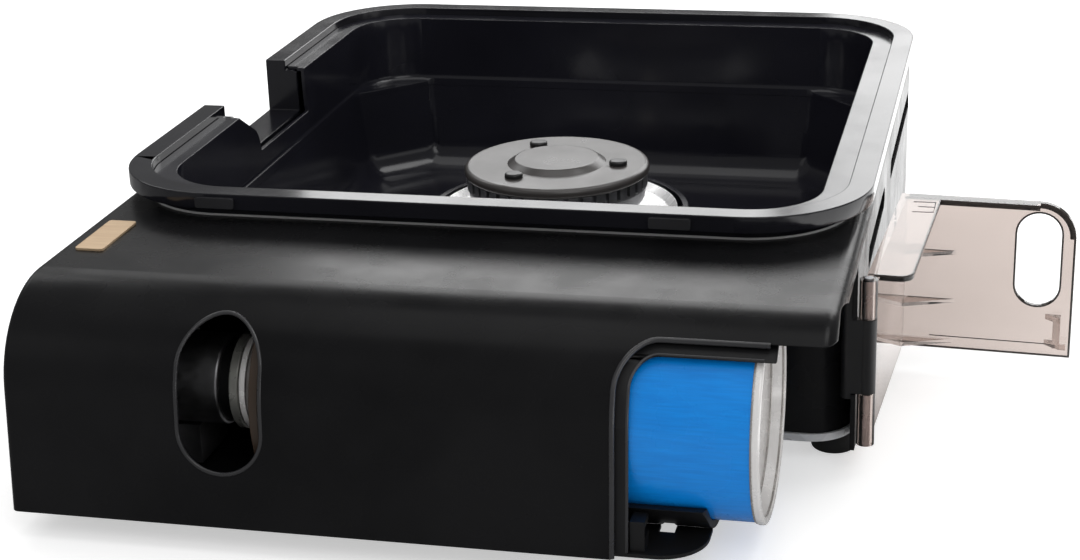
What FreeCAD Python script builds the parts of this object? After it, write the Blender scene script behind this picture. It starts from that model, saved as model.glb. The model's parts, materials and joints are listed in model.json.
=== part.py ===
import FreeCAD, Part
import Sketcher
import math
import os
import types

# Tabletop gas grill, millimetres, +Z up.
# Lengths below are measured from the shell's lower front left corner: x runs along the can bay,
# y runs from the bay to the back and z runs up from the shell's lower edge. Every piece is then
# shifted so that the origin lies under the middle of the whole grill, on the surface it stands on.

os.makedirs("parts", exist_ok=True)
doc = FreeCAD.newDocument("gas_grill")
sheet = doc.addObject("Spreadsheet::Sheet", "Sizes")

# Driving dimensions

DRIVING = [
    # shell
    ("shell_width", 262.5),
    ("shell_depth", 376.0),
    ("shell_wall", 1.6),
    ("front_radius", 33.0),
    ("front_lean", 6.5),
    ("rear_corner", 35.0),
    ("right_edge_round", 5.0),
    ("left_edge_round", 2.6),
    ("deck_opening_gap", 0.4),
    # window, badge and vents
    ("window_left", 59.0),
    ("window_wide", 27.8),
    ("window_low", 17.8),
    ("window_tall", 47.8),
    ("badge_left", 6.0),
    ("badge_front", 53.0),
    ("badge_wide", 10.0),
    ("badge_long", 29.0),
    ("badge_thick", 0.8),
    ("vent_low", 48.0),
    ("vent_tall", 8.0),
    ("vent_start", 133.0),
    ("vent_short", 73.0),
    ("vent_rib", 29.0),
    ("vent_back_in", 30.0),
    # gas can
    ("can_radius", 34.0),
    ("can_rise", -0.3),
    ("can_front_gap", 6.6),
    ("can_long", 169.9),
    ("can_body_long", 156.9),
    ("can_seam", 0.7),
    ("can_seam_long", 2.5),
    ("can_dish", 7.0),
    ("can_tin", 0.8),
    ("can_neck", 1.6),
    ("can_cup_radius", 16.0),
    ("can_stem_out", 9.0),
    ("stem_radius", 2.0),
    ("can_gap", 0.3),
    ("label_thick", 0.2),
    # can bay
    ("roof_gap", 1.7),
    ("can_shown", 44.1),
    ("bay_head", 5.5),
    ("bay_corner", 13.0),
    ("bay_room", 20.4),
    ("bay_wall_thick", 2.0),
    ("bay_wall_left", 30.0),
    ("bay_wall_corner", 15.0),
    ("frame_band", 4.8),
    ("frame_inset", 2.0),
    ("frame_thick", 1.0),
    ("frame_past_can", 3.8),
    ("cradle_start", 86.0),
    ("cradle_short", 16.4),
    ("cradle_thick", 2.4),
    # rim frame and drip well
    ("rim_left_out", 2.8),
    ("rim_right_out", 1.7),
    ("rim_before_wall", 8.0),
    ("rim_back_in", 2.0),
    ("rim_up", 10.3),
    ("rim_skirt", 5.8),
    ("rim_corner", 42.0),
    ("rim_flange", 8.5),
    ("rim_step", 3.0),
    ("rim_foot_inset", 7.3),
    ("rim_foot_wide", 4.7),
    ("well_gap", 0.3),
    ("well_wall", 1.5),
    ("well_flange", 1.3),
    ("well_mouth_inset", 17.0),
    ("well_seat_up", 49.5),
    ("well_floor_up", 10.0),
    ("well_seat_inset", 18.3),
    ("well_seat_cut", 27.0),
    ("well_seat_round", 4.0),
    ("well_round", 13.0),
    ("tunnel_gap", 0.5),
    ("spout_start", 107.5),
    ("spout_long", 70.2),
    ("spout_drop", 21.8),
    ("spout_wall", 1.8),
    # burner
    ("cap_radius", 37.1),
    ("cap_low", 48.0),
    ("cap_thick", 4.0),
    ("cap_boss", 16.8),
    ("cap_boss_up", 2.0),
    ("rivet_ring", 25.0),
    ("rivet_radius", 3.6),
    ("rivet_count", 3),
    ("port_low", 43.0),
    ("port_count", 40),
    ("port_wide", 1.8),
    ("port_deep", 2.2),
    ("head_low", 26.0),
    ("base_cup_radius", 29.0),
    ("reflector_past_cap", 10.9),
    ("reflector_thick", 0.8),
    ("reflector_rise", 7.0),
    ("well_hole_gap", 2.2),
    ("bracket_thick", 2.4),
    ("tube_up", 11.0),
    ("mixing_radius", 6.0),
    ("gas_tube_radius", 2.0),
    # regulator, knob and igniter
    ("regulator_left", 38.0),
    ("regulator_long", 26.0),
    ("regulator_radius", 15.0),
    ("knob_radius", 17.5),
    ("knob_out", 12.0),
    ("knob_gap", 0.8),
    ("knob_turn", 115.0),
    ("spindle_radius", 3.0),
    ("magnet_back", 68.2),
    ("magnet_thick", 3.0),
    ("igniter_left", 20.0),
    ("igniter_behind", 14.0),
    ("plunger_radius", 3.0),
    ("plunger_travel", 4.0),
    ("cam_radius", 6.5),
    ("cam_gap", 0.5),
    ("lead_radius", 1.1),
    # door and hinge
    ("hinge_gap", 0.3),
    ("hinge_before_wall", 2.5),
    ("knuckle_radius", 3.0),
    ("pin_radius", 1.5),
    ("door_low", 1.6),
    ("door_head_gap", 0.5),
    ("door_thick", 2.2),
    ("door_face_in", 1.0),
    ("leaf_short", 6.0),
    ("lip_wide", 14.5),
    ("lip_thick", 2.0),
    ("door_open_gap", 3.5),
    ("middle_knuckle_low", 20.4),
    ("middle_knuckle_tall", 26.2),
    ("knuckle_gap", 0.3),
    # base and feet
    ("pan_thick", 1.2),
    ("pan_edge", 8.0),
    ("pan_lip", 2.7),
    ("pan_lip_thick", 1.0),
    ("foot_radius", 8.2),
    ("foot_tall", 9.0),
    ("foot_recess", 3.0),
    ("screw_radius", 1.5),
    ("fit_gap", 0.05),
]

for row, (word, amount) in enumerate(DRIVING, start=1):
    sheet.set("A%d" % row, word)
    sheet.set("B%d" % row, str(amount))
    sheet.setAlias("B%d" % row, word)
doc.recompute()


class Size:
    """A number together with the sheet formula that gives it."""

    def __init__(self, value, formula):
        self.value = float(value)
        self.formula = formula

    def __add__(self, other):
        return merged(self, "+", other, self.value + as_size(other).value)

    def __radd__(self, other):
        return as_size(other) + self

    def __sub__(self, other):
        return merged(self, "-", other, self.value - as_size(other).value)

    def __rsub__(self, other):
        return as_size(other) - self

    def __mul__(self, other):
        return merged(self, "*", other, self.value * as_size(other).value)

    def __rmul__(self, other):
        return as_size(other) * self

    def __truediv__(self, other):
        return merged(self, "/", other, self.value / as_size(other).value)

    def __neg__(self):
        return as_size(0.0) - self


def as_size(item):
    if isinstance(item, Size):
        return item
    return Size(item, "(%r)" % float(item))


def merged(first, sign, second, value):
    return Size(value, "(%s %s %s)" % (first.formula, sign, as_size(second).formula))


def sine(angle):
    return Size(math.sin(math.radians(angle.value)), "sin(%s)" % angle.formula)


def cosine(angle):
    return Size(math.cos(math.radians(angle.value)), "cos(%s)" % angle.formula)


def root(item):
    return Size(math.sqrt(item.value), "sqrt(%s)" % item.formula)


# The sheet's values, each by its own word
v = types.SimpleNamespace()
for word, _ in DRIVING:
    setattr(v, word, Size(sheet.get(word), "Sizes." + word))

# Derived sizes: what has to fit, line up or meet is worked out from the sheet

v.can_up = v.can_radius + v.can_rise
v.can_in = v.can_front_gap + v.can_radius
v.can_end = v.magnet_back + v.magnet_thick + v.can_gap + v.can_long
v.shell_height = v.can_up + v.can_radius + v.roof_gap + v.shell_wall
v.bay_left = v.can_end - v.can_shown
v.bay_top = v.shell_height - v.bay_head
v.bay_wall_front = v.can_in + v.can_radius + v.bay_room
v.bay_frame_end = v.can_end + v.frame_past_can
v.cradle_end = v.can_end - v.cradle_short
v.vent_long = v.shell_depth - v.vent_start - v.vent_short - v.vent_rib - v.vent_back_in
v.hinge_x = v.shell_width + v.knuckle_radius + v.hinge_gap
v.hinge_y = v.bay_wall_front - v.hinge_before_wall
v.door_wall_long = v.hinge_y - v.door_face_in
v.door_leaf_long = v.hinge_x - v.bay_left - v.leaf_short
v.door_tall = v.bay_top - v.frame_band - v.door_head_gap - v.door_low
v.rim_front = v.bay_wall_front - v.rim_before_wall
v.rim_width = v.shell_width + v.rim_left_out + v.rim_right_out
v.rim_depth = v.shell_depth - v.rim_back_in - v.rim_front
v.rim_top = v.shell_height + v.rim_up
v.spout_front = v.rim_front + v.spout_start
v.spout_back = v.spout_front + v.spout_long
v.spout_sill = v.rim_top - v.spout_drop
v.burner_x = v.rim_width / 2 - v.rim_left_out
v.burner_y = v.rim_depth / 2 + v.rim_front
v.reflector_radius = v.cap_radius + v.reflector_past_cap

CAN_Y = v.can_in
CAN_Z = v.can_up
RIM_LEFT = -v.rim_left_out
RIM_LOW = v.rim_top - v.rim_skirt
LEDGE_UP = v.rim_top - v.rim_step
WELL_FLANGE = v.well_flange
FOOT_LOW = -v.foot_tall
DOOR_REACH = (
    (v.door_leaf_long - v.door_thick / 2) * cosine(v.door_open_gap)
    + v.door_wall_long * sine(v.door_open_gap)
)
ORIGIN = (
    (v.hinge_x + DOOR_REACH - v.knob_out) / 2,
    v.shell_depth / 2,
    FOOT_LOW,
)

nodes = {}

# Building blocks

TURNS = {
    "z": FreeCAD.Rotation(0, 0, 0),
    "x": FreeCAD.Rotation(FreeCAD.Vector(0, 1, 0), 90),
    "-x": FreeCAD.Rotation(FreeCAD.Vector(0, 1, 0), -90),
    "y": FreeCAD.Rotation(FreeCAD.Vector(1, 0, 0), -90),
}


def bind(item, name, size):
    """Set one property to a size and to the sheet formula behind it."""
    size = as_size(size)
    item.setExpression(name, size.formula)


def put(item, place, turn="z"):
    """Place an item whose own origin belongs at this point of the shell's frame."""
    item.Placement = FreeCAD.Placement(FreeCAD.Vector(0, 0, 0), TURNS[turn])
    for axis, length, origin in zip("xyz", place, ORIGIN):
        bind(item, "Placement.Base." + axis, as_size(length) - origin)
    return item


def box(name, corner, size):
    item = doc.addObject("Part::Box", name)
    for side, length in zip(("Length", "Width", "Height"), size):
        bind(item, side, length)
    return put(item, corner)


def rod(name, radius, length, start, turn="z"):
    item = doc.addObject("Part::Cylinder", name)
    bind(item, "Radius", radius)
    bind(item, "Height", length)
    return put(item, start, turn)


def cut(name, base, *tools):
    item = doc.addObject("Part::Cut", name)
    item.Base = base
    item.Tool = tools[0] if len(tools) == 1 else fuse(name + "_tools", *tools)
    item.Refine = True
    return item


def fuse(name, *pieces):
    item = doc.addObject("Part::MultiFuse", name)
    item.Shapes = list(pieces)
    item.Refine = True
    return item


def common(name, first, second):
    item = doc.addObject("Part::Common", name)
    item.Base = first
    item.Tool = second
    return item


def group(name, pieces):
    item = doc.addObject("Part::Compound", name)
    item.Links = list(pieces)
    return item


def node(name, item):
    """Keep an item as a piece of the grill, under the name of its node."""
    item.Label = name
    nodes[name] = item
    return item


def plane_of(body, role):
    return [item for item in body.Origin.OriginFeatures if item.Role == role][0]


def corner_arc(before, corner, after, radius):
    """Tangent points and middle of the arc that rounds a corner."""
    back = (before - corner).normalize()
    ahead = (after - corner).normalize()
    half = back.getAngle(ahead) / 2
    reach = radius / math.tan(half)
    middle = corner + (back + ahead).normalize() * (radius / math.sin(half))
    start = corner + back * reach
    end = corner + ahead * reach
    toward = (corner - middle).normalize() * radius
    return start, middle + toward, end


def draw_loop(sketch, outline):
    """Draw a closed outline of points, each with an optional rounding radius, fully constrained."""
    marks = [FreeCAD.Vector(as_size(p[0]).value, as_size(p[1]).value, 0) for p in outline]
    count = len(marks)
    arcs = {}
    for i, point in enumerate(outline):
        if len(point) == 3:
            arcs[i] = corner_arc(marks[i - 1], marks[i], marks[(i + 1) % count], as_size(point[2]).value)
    corners = []
    for i, point in enumerate(outline):
        index = sketch.addGeometry(Part.Point(marks[i]), True)
        pin(sketch, index, point)
        corners.append(index)
    lines = []
    for i in range(count):
        following = (i + 1) % count
        start = arcs[i][2] if i in arcs else marks[i]
        end = arcs[following][0] if following in arcs else marks[following]
        lines.append(sketch.addGeometry(Part.LineSegment(start, end), False))
    for i in range(count):
        line, before = lines[i], lines[i - 1]
        if i in arcs:
            arc = sketch.addGeometry(Part.Arc(*arcs[i]), False)
            join_arc(sketch, arc, before, line, arcs[i])
            sketch.addConstraint(Sketcher.Constraint("PointOnObject", corners[i], 1, before))
            sketch.addConstraint(Sketcher.Constraint("PointOnObject", corners[i], 1, line))
            number = sketch.addConstraint(
                Sketcher.Constraint("Radius", arc, as_size(outline[i][2]).value)
            )
            bind(sketch, "Constraints[%d]" % number, outline[i][2])
        else:
            sketch.addConstraint(Sketcher.Constraint("Coincident", before, 2, corners[i], 1))
            sketch.addConstraint(Sketcher.Constraint("Coincident", line, 1, corners[i], 1))


def pin(sketch, index, point):
    """Hold a sketch point at its two sizes."""
    for kind, size in (("DistanceX", point[0]), ("DistanceY", point[1])):
        size = as_size(size)
        number = sketch.addConstraint(Sketcher.Constraint(kind, -1, 1, index, 1, size.value))
        bind(sketch, "Constraints[%d]" % number, size)


def join_arc(sketch, arc, before, line, ends):
    """Tie an arc's two ends to the lines that it rounds off."""
    first = sketch.getPoint(arc, 1)
    start_end, finish_end = (1, 2) if first.distanceToPoint(ends[0]) < 1e-6 else (2, 1)
    sketch.addConstraint(Sketcher.Constraint("Tangent", before, 2, arc, start_end))
    sketch.addConstraint(Sketcher.Constraint("Tangent", arc, finish_end, line, 1))


def draw_circle(sketch, centre, radius):
    middle = FreeCAD.Vector(as_size(centre[0]).value, as_size(centre[1]).value, 0)
    circle = Part.Circle(middle, FreeCAD.Vector(0, 0, 1), as_size(radius).value)
    index = sketch.addGeometry(circle, False)
    for kind, size in (("DistanceX", centre[0]), ("DistanceY", centre[1])):
        number = sketch.addConstraint(
            Sketcher.Constraint(kind, -1, 1, index, 3, as_size(size).value)
        )
        bind(sketch, "Constraints[%d]" % number, size)
    number = sketch.addConstraint(Sketcher.Constraint("Radius", index, as_size(radius).value))
    bind(sketch, "Constraints[%d]" % number, radius)


def sketch_on(body, name, role, *loops):
    """A sketch on one of the body's own planes, with closed loops of points or circles."""
    sketch = body.newObject("Sketcher::SketchObject", name)
    sketch.AttachmentSupport = [(plane_of(body, role), "")]
    sketch.MapMode = "FlatFace"
    for loop in loops:
        if isinstance(loop, tuple):
            draw_circle(sketch, loop[0], loop[1])
        else:
            draw_loop(sketch, loop)
    return sketch


def add_pad(body, sketch, length, reverse=False, taper=None):
    pad = body.newObject("PartDesign::Pad", sketch.Name + "_pad")
    pad.Profile = sketch
    bind(pad, "Length", length)
    pad.Reversed = reverse
    if taper is not None:
        bind(pad, "TaperAngle", taper)
    sketch.Visibility = False
    return pad


def plate(name, place, height, *loops, taper=None, down=False):
    """A plate drawn from above whose sketch lies at place and which rises by height."""
    body = doc.addObject("PartDesign::Body", name)
    sketch = sketch_on(body, name + "_plan", "XY_Plane", *loops)
    add_pad(body, sketch, height, reverse=down, taper=taper)
    return put(body, place)


def strip(name, place, length, *loops):
    """A profile drawn across, in y and z, that runs along x from place."""
    body = doc.addObject("PartDesign::Body", name)
    sketch = sketch_on(body, name + "_profile", "YZ_Plane", *loops)
    add_pad(body, sketch, length)
    return put(body, place)


def upright(name, place, depth, *loops):
    """A profile drawn from the front, in x and z, that runs back along y from place."""
    body = doc.addObject("PartDesign::Body", name)
    sketch = sketch_on(body, name + "_face", "XZ_Plane", *loops)
    add_pad(body, sketch, depth, reverse=True)
    return put(body, place)


def turned(name, place, outline, turn="z"):
    """A turned piece: points of radius and height about the axis that starts at place."""
    body = doc.addObject("PartDesign::Body", name)
    sketch = sketch_on(body, name + "_half", "XZ_Plane", outline)
    turn_about = body.newObject("PartDesign::Revolution", name + "_turn")
    turn_about.Profile = sketch
    turn_about.ReferenceAxis = (sketch, ["V_Axis"])
    turn_about.Angle = 360
    sketch.Visibility = False
    return put(body, place, turn)


def round_edges(body, radius, wanted, kind="PartDesign::Fillet"):
    """Round the edges of the body's last feature that pass the test."""
    doc.recompute()
    base = body.Tip
    names = [
        "Edge%d" % (i + 1) for i, edge in enumerate(base.Shape.Edges) if wanted(edge.BoundBox)
    ]
    item = body.newObject(kind, body.Name + "_round%d" % len(body.Group))
    item.Base = (base, names)
    bind(item, "Radius" if kind.endswith("Fillet") else "Size", radius)
    body.Tip = item
    return item


def near(first, second):
    return abs(first - as_size(second).value) < 0.01


def rectangle(left, low, right, high, radius=None):
    points = [(left, low), (right, low), (right, high), (left, high)]
    if radius is None:
        return points
    return [point + (radius,) for point in points]


# Shell


def shell_form(name, inset, low):
    """The shell's outer or inner form: front profile along x, cut to the plan with round rear corners."""
    left = as_size(inset)
    right = v.shell_width - inset
    top = v.shell_height - inset
    back = v.shell_depth - inset
    profile = [
        (as_size(inset), low),
        (v.front_lean + inset, top, v.front_radius - inset),
        (back, top, v.right_edge_round - inset),
        (back, low),
    ]
    run = strip(name + "_run", (left, 0, 0), right - left, profile)
    length = (right - left).value
    for side, radius in ((length, v.right_edge_round), (0.0, v.left_edge_round)):
        round_edges(
            run,
            radius - inset,
            lambda b, side=side: near(b.XMin, side) and near(b.XMax, side)
            and b.ZMax > as_size(low).value + 1 and b.YMax < back.value - 0.01,
        )
    plan = plate(
        name + "_plan",
        (left, inset, low),
        v.shell_height * 2,
        [
            (0, -v.shell_height),
            (right - left, -v.shell_height),
            (right - left, back - inset, v.rear_corner - inset),
            (0, back - inset, v.rear_corner - inset),
        ],
    )
    return common(name, run, plan)


def slot_tool(name, left, low, wide, tall, front, depth):
    """A slot with round ends, seen from the front."""
    shape = rectangle(left, low, left + wide, low + tall, wide / 2 - 0.01)
    return upright(name, (0, front, 0), depth, shape)


def rim_loop(inset, corner=None):
    """The rim's outline in plan, drawn in from its outer edge."""
    radius = v.rim_corner - inset if corner is None else corner
    return rectangle(
        RIM_LEFT + inset,
        v.rim_front + inset,
        RIM_LEFT + v.rim_width - inset,
        v.rim_front + v.rim_depth - inset,
        radius,
    )


outer = shell_form("shell_outer", 0.0, 0.0)
inner = shell_form("shell_inner", v.shell_wall, -2.0)
bay_cut = upright(
    "bay_cut",
    (0, -5, 0),
    v.hinge_y - v.knuckle_radius + 5,
    [
        (v.bay_left, -5),
        (v.shell_width + 10, -5),
        (v.shell_width + 10, v.bay_top),
        (v.bay_left, v.bay_top, v.bay_corner),
    ],
)
deck_cut = plate(
    "deck_cut",
    (0, 0, v.shell_height - 10),
    20,
    rim_loop(v.rim_foot_inset + v.rim_foot_wide - 1),
)
window_cut = slot_tool(
    "window_cut", v.window_left, v.window_low, v.window_wide, v.window_tall, -5, 35
)
spout_cut = box(
    "spout_cut",
    (-5, v.spout_front - v.spout_wall - v.deck_opening_gap, v.spout_sill - v.spout_wall - 0.4),
    (25, v.spout_back - v.spout_front + (v.spout_wall + v.deck_opening_gap) * 2, 30),
)
can_way = rod(
    "can_way",
    v.can_radius + v.can_seam + v.can_gap * 2,
    v.shell_width,
    (v.can_end, CAN_Y, CAN_Z),
    "x",
)
hinge_notch = box(
    "hinge_notch",
    (
        v.shell_width - v.right_edge_round,
        v.hinge_y - v.knuckle_radius - 1,
        v.middle_knuckle_low - v.knuckle_gap,
    ),
    (10, v.knuckle_radius + 1.6, v.middle_knuckle_tall + v.knuckle_gap * 2),
)
spindle_hole = rod("spindle_hole", v.spindle_radius + 2, 10, (-5, CAN_Y, CAN_Z), "x")


def vent_tool(name, start, length):
    """A long slot with round ends through the right wall."""
    low = v.vent_low
    shape = rectangle(start, low, start + length, low + v.vent_tall, v.vent_tall / 2 - 0.01)
    return strip(name, (v.shell_width - 5, 0, 0), 10, shape)


vent_a = vent_tool("vent_a", v.vent_start, v.vent_short)
vent_b = vent_tool("vent_b", v.vent_start + v.vent_short + v.vent_rib, v.vent_long)
SCREW_FRONT = v.bay_wall_front + 35
SCREW_BACK = v.shell_depth - 56
CASE_SCREWS = [
    (as_size(0), SCREW_FRONT, "-x"),
    (as_size(0), SCREW_BACK, "-x"),
    (v.shell_width, SCREW_FRONT, "x"),
    (v.shell_width, SCREW_BACK, "x"),
]
CASE_SCREW_UP = v.pan_edge * 0.6
case_holes = []
for number, (x, y, turn) in enumerate(CASE_SCREWS):
    start = x - 12 if turn == "x" else x + 12
    case_holes.append(
        rod("case_hole%d" % number, v.screw_radius, 24, (start, y, CASE_SCREW_UP), turn)
    )
node(
    "top_shell",
    cut(
        "top_shell_cut", outer, inner, bay_cut, deck_cut, window_cut, spout_cut, spindle_hole,
        can_way, hinge_notch, vent_a, vent_b, *case_holes
    ),
)

node(
    "badge_plate",
    plate(
        "badge_body",
        (v.badge_left, v.badge_front, v.shell_height),
        v.badge_thick,
        rectangle(0, 0, v.badge_wide, v.badge_long, 1.2),
    ),
)

# Base pan, bay floor with the can's cradle, feet and screws

BAY_BACK = v.bay_wall_front + v.bay_wall_thick
LIP_IN = v.pan_lip_thick
PAN_FRONT = v.bay_wall_front - LIP_IN
PAN_LEFT = v.shell_wall
PAN_RIGHT = v.shell_width - v.shell_wall
PAN_BACK = v.shell_depth - v.shell_wall
PAN_CORNER = v.rear_corner - v.shell_wall
FLOOR_FRONT = v.shell_wall + 1
CRADLE_IN = v.can_radius + v.can_gap
CRADLE_OUT = CRADLE_IN + v.cradle_thick
CRADLE_DROP = CAN_Z - v.pan_thick
CRADLE_HALF = root(CRADLE_OUT * CRADLE_OUT - CRADLE_DROP * CRADLE_DROP)

FOOT_PLACES = [
    (as_size(16.0), as_size(30.0)),
    (as_size(30.0), v.shell_depth - 36),
    (v.shell_width - 8.9, BAY_BACK + 15),
    (v.shell_width - 30, v.shell_depth - 36),
]


def drilled(prefix):
    """Tools for the holes of the foot screws and case screws."""
    tools = []
    for number, (x, y) in enumerate(FOOT_PLACES):
        tools.append(rod("%s_foot%d" % (prefix, number), v.screw_radius, 10, (x, y, -5)))
    for number, (x, y, turn) in enumerate(CASE_SCREWS):
        start = x - 12 if turn == "x" else x + 12
        tools.append(
            rod("%s_case%d" % (prefix, number), v.screw_radius, 24, (start, y, CASE_SCREW_UP), turn)
        )
    return tools


def pan_outline(inset):
    """The base pan's plan, with round corners at the back and beside the hinge."""
    return [
        (PAN_LEFT + inset, PAN_FRONT + inset),
        (PAN_RIGHT - inset, PAN_FRONT + inset, v.bay_wall_corner - inset),
        (PAN_RIGHT - inset, PAN_BACK - inset, PAN_CORNER - inset),
        (PAN_LEFT + inset, PAN_BACK - inset, PAN_CORNER - inset),
    ]


pan_plate = plate("pan_plate", (0, 0, 0), v.pan_thick, pan_outline(0))
pan_rim = plate("pan_rim", (0, 0, 0), v.pan_edge, pan_outline(0), pan_outline(v.pan_thick))
rim_gap = box(
    "rim_gap",
    (v.shell_wall * 0.5, PAN_FRONT - 5, v.pan_thick),
    (v.shell_width, v.bay_wall_corner * 2 + 6, v.pan_edge),
)
pan_lip = common(
    "pan_lip",
    plate("pan_lip_loop", (0, 0, 0), v.pan_lip, pan_outline(0), pan_outline(LIP_IN)),
    box(
        "pan_lip_reach",
        (v.bay_wall_left, PAN_FRONT - 1, 0),
        (v.shell_width, v.bay_wall_corner * 2, v.pan_lip),
    ),
)
node(
    "base_pan",
    cut(
        "pan_cut",
        fuse("pan_whole", pan_plate, cut("pan_sides", pan_rim, rim_gap), pan_lip),
        *drilled("pan"),
    ),
)

floor_plate = plate(
    "floor_plate",
    (0, 0, 0),
    v.pan_thick,
    [
        (PAN_LEFT, FLOOR_FRONT),
        (v.cradle_end, FLOOR_FRONT, 15),
        (v.cradle_end, PAN_FRONT, 6),
        (PAN_LEFT, PAN_FRONT),
    ],
)
floor_lip = box(
    "floor_lip",
    (PAN_LEFT + 1.2, FLOOR_FRONT, 0),
    (v.bay_left - 4.2 - PAN_LEFT, v.pan_thick, v.pan_edge),
)
cradle_run = v.cradle_end - v.cradle_start
cradle_ring = cut(
    "cradle_ring",
    rod("cradle_out", CRADLE_OUT, cradle_run, (v.cradle_start, CAN_Y, CAN_Z), "x"),
    rod("cradle_in", CRADLE_IN, v.shell_width, (0, CAN_Y, CAN_Z), "x"),
)
cradle_low = plate(
    "cradle_low",
    (v.cradle_start, CAN_Y - CRADLE_OUT, CAN_Z - CRADLE_OUT - 1),
    CRADLE_OUT + 1 - CAN_Z * 0.62,
    [
        (0, 0),
        (cradle_run, 0, 12),
        (cradle_run, CRADLE_OUT * 2, 12),
        (0, CRADLE_OUT * 2),
    ],
)
cradle_slot = box(
    "cradle_slot",
    (v.magnet_back, CAN_Y - CRADLE_HALF, -1),
    (v.cradle_end - v.magnet_back + 5, CRADLE_HALF * 2, 5),
)
grip_hole = box("grip_hole", (v.cradle_end - 16.2, CAN_Y - 22, -8), (5, 11, 30))
node(
    "can_cradle",
    cut(
        "cradle_cut",
        fuse(
            "cradle_whole",
            cut("floor_cut", fuse("floor_whole", floor_plate, floor_lip), cradle_slot),
            common("cradle_trough", cradle_ring, cradle_low),
        ),
        grip_hole,
        *drilled("floor"),
    ),
)

feet = []
foot_screws = []
for number, (x, y) in enumerate(FOOT_PLACES):
    feet.append(
        turned(
            "foot%d" % number,
            (x, y, FOOT_LOW),
            [
                (v.screw_radius, v.foot_recess),
                (4, v.foot_recess),
                (4, 0),
                (v.foot_radius - 0.6, 0, 1),
                (v.foot_radius, v.foot_tall),
                (v.screw_radius, v.foot_tall),
            ],
        )
    )
    screw_top = v.foot_tall - v.foot_recess + v.pan_thick + 2
    foot_screws.append(
        turned(
            "foot_screw%d" % number,
            (x, y, FOOT_LOW + v.foot_recess),
            [
                (0, -2),
                (3, -2, 0.8),
                (3, 0),
                (v.screw_radius, 0),
                (v.screw_radius, screw_top),
                (0, screw_top),
            ],
        )
    )
node("rubber_feet", group("feet_group", feet))
node("foot_screws", group("foot_screws_group", foot_screws))

case_screws = []
for number, (x, y, turn) in enumerate(CASE_SCREWS):
    case_screws.append(
        turned(
            "case_screw%d" % number,
            (x, y, CASE_SCREW_UP),
            [
                (0, -5),
                (v.screw_radius, -5),
                (v.screw_radius, 0),
                (2.9, 0),
                (2.9, 1.5, 1.0),
                (0, 1.5),
            ],
            turn,
        )
    )
node("case_screws", group("case_screws_group", case_screws))

# Can bay: stepped frame, wall, hinge post, latch receiver and heat shield

FRAME_DEEP = v.frame_inset + v.frame_thick


def frame_profile(inset, low):
    """The shell's front profile, drawn in by inset."""
    back = v.bay_wall_front - 8
    top = v.shell_height - inset
    return [
        (as_size(inset), low),
        (v.front_lean + inset, top, v.front_radius - inset),
        (back, top),
        (back, low),
    ]


frame_left = v.bay_left - 2
frame_run = strip(
    "frame_run", (frame_left, 0, 0), v.bay_frame_end - frame_left, frame_profile(v.frame_inset, v.pan_thick)
)
frame_core = strip("frame_core", (frame_left - 5, 0, 0), v.shell_width, frame_profile(FRAME_DEEP, -1))
frame_edge = v.bay_left + v.frame_band
frame_top = v.bay_top - v.frame_band
frame_hole = upright(
    "frame_hole",
    (0, -5, 0),
    100,
    [
        (frame_edge, -5),
        (v.shell_width + 10, -5),
        (v.shell_width + 10, frame_top),
        (frame_edge, frame_top, v.bay_corner - v.frame_band),
    ],
)
frame_reach = box(
    "frame_reach",
    (frame_left - 5, v.front_radius - 6, -1),
    (v.shell_width, v.bay_wall_front, v.shell_height + 2),
)
node("bay_frame", cut("frame_cut", frame_run, frame_core, frame_hole, frame_reach))

WALL_IN = v.bay_wall_corner - v.bay_wall_thick
WALL_SIDE_END = v.bay_wall_front + v.bay_wall_corner * 2
WALL_RIGHT = PAN_RIGHT - LIP_IN
wall_plan = plate(
    "bay_wall_plan",
    (0, 0, v.pan_thick),
    v.shell_height - v.pan_thick,
    [
        (v.bay_wall_left, v.bay_wall_front),
        (WALL_RIGHT, v.bay_wall_front, v.bay_wall_corner),
        (WALL_RIGHT, WALL_SIDE_END),
        (WALL_RIGHT - v.bay_wall_thick, WALL_SIDE_END),
        (WALL_RIGHT - v.bay_wall_thick, BAY_BACK, WALL_IN),
        (v.bay_wall_left, BAY_BACK),
    ],
)
node("bay_wall", common("bay_wall_trim", wall_plan, inner))

LIP_CLEAR = 0.8
POST_LEFT = v.shell_width - 5.2
POST_FRONT = v.hinge_y - v.knuckle_radius + 0.4
POST_BACK = v.bay_wall_front + 2
POST_LOW = v.middle_knuckle_low - 2
DOOR_TOP = v.door_low + v.door_tall
post = plate(
    "post_plan",
    (0, 0, POST_LOW),
    DOOR_TOP - v.lip_thick - LIP_CLEAR - POST_LOW,
    [
        (POST_LEFT, POST_FRONT, 2.5),
        (PAN_RIGHT, POST_FRONT),
        (PAN_RIGHT, POST_BACK),
        (POST_LEFT, POST_BACK, 1),
    ],
)
web = box(
    "post_web",
    (PAN_RIGHT - 1, POST_FRONT, v.middle_knuckle_low),
    (v.hinge_x - PAN_RIGHT + 1, v.knuckle_radius, v.middle_knuckle_tall),
)
barrel = rod(
    "post_barrel",
    v.knuckle_radius,
    v.middle_knuckle_tall,
    (v.hinge_x, v.hinge_y, v.middle_knuckle_low),
)
PIN_LOW = v.door_low - 0.6
PIN_LONG = v.door_tall + 1.2
barrel_bore = rod(
    "barrel_bore", v.pin_radius + v.fit_gap, PIN_LONG + 10, (v.hinge_x, v.hinge_y, PIN_LOW - 5)
)
node("hinge_post", cut("post_cut", fuse("post_whole", post, web, barrel), barrel_bore))

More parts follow.
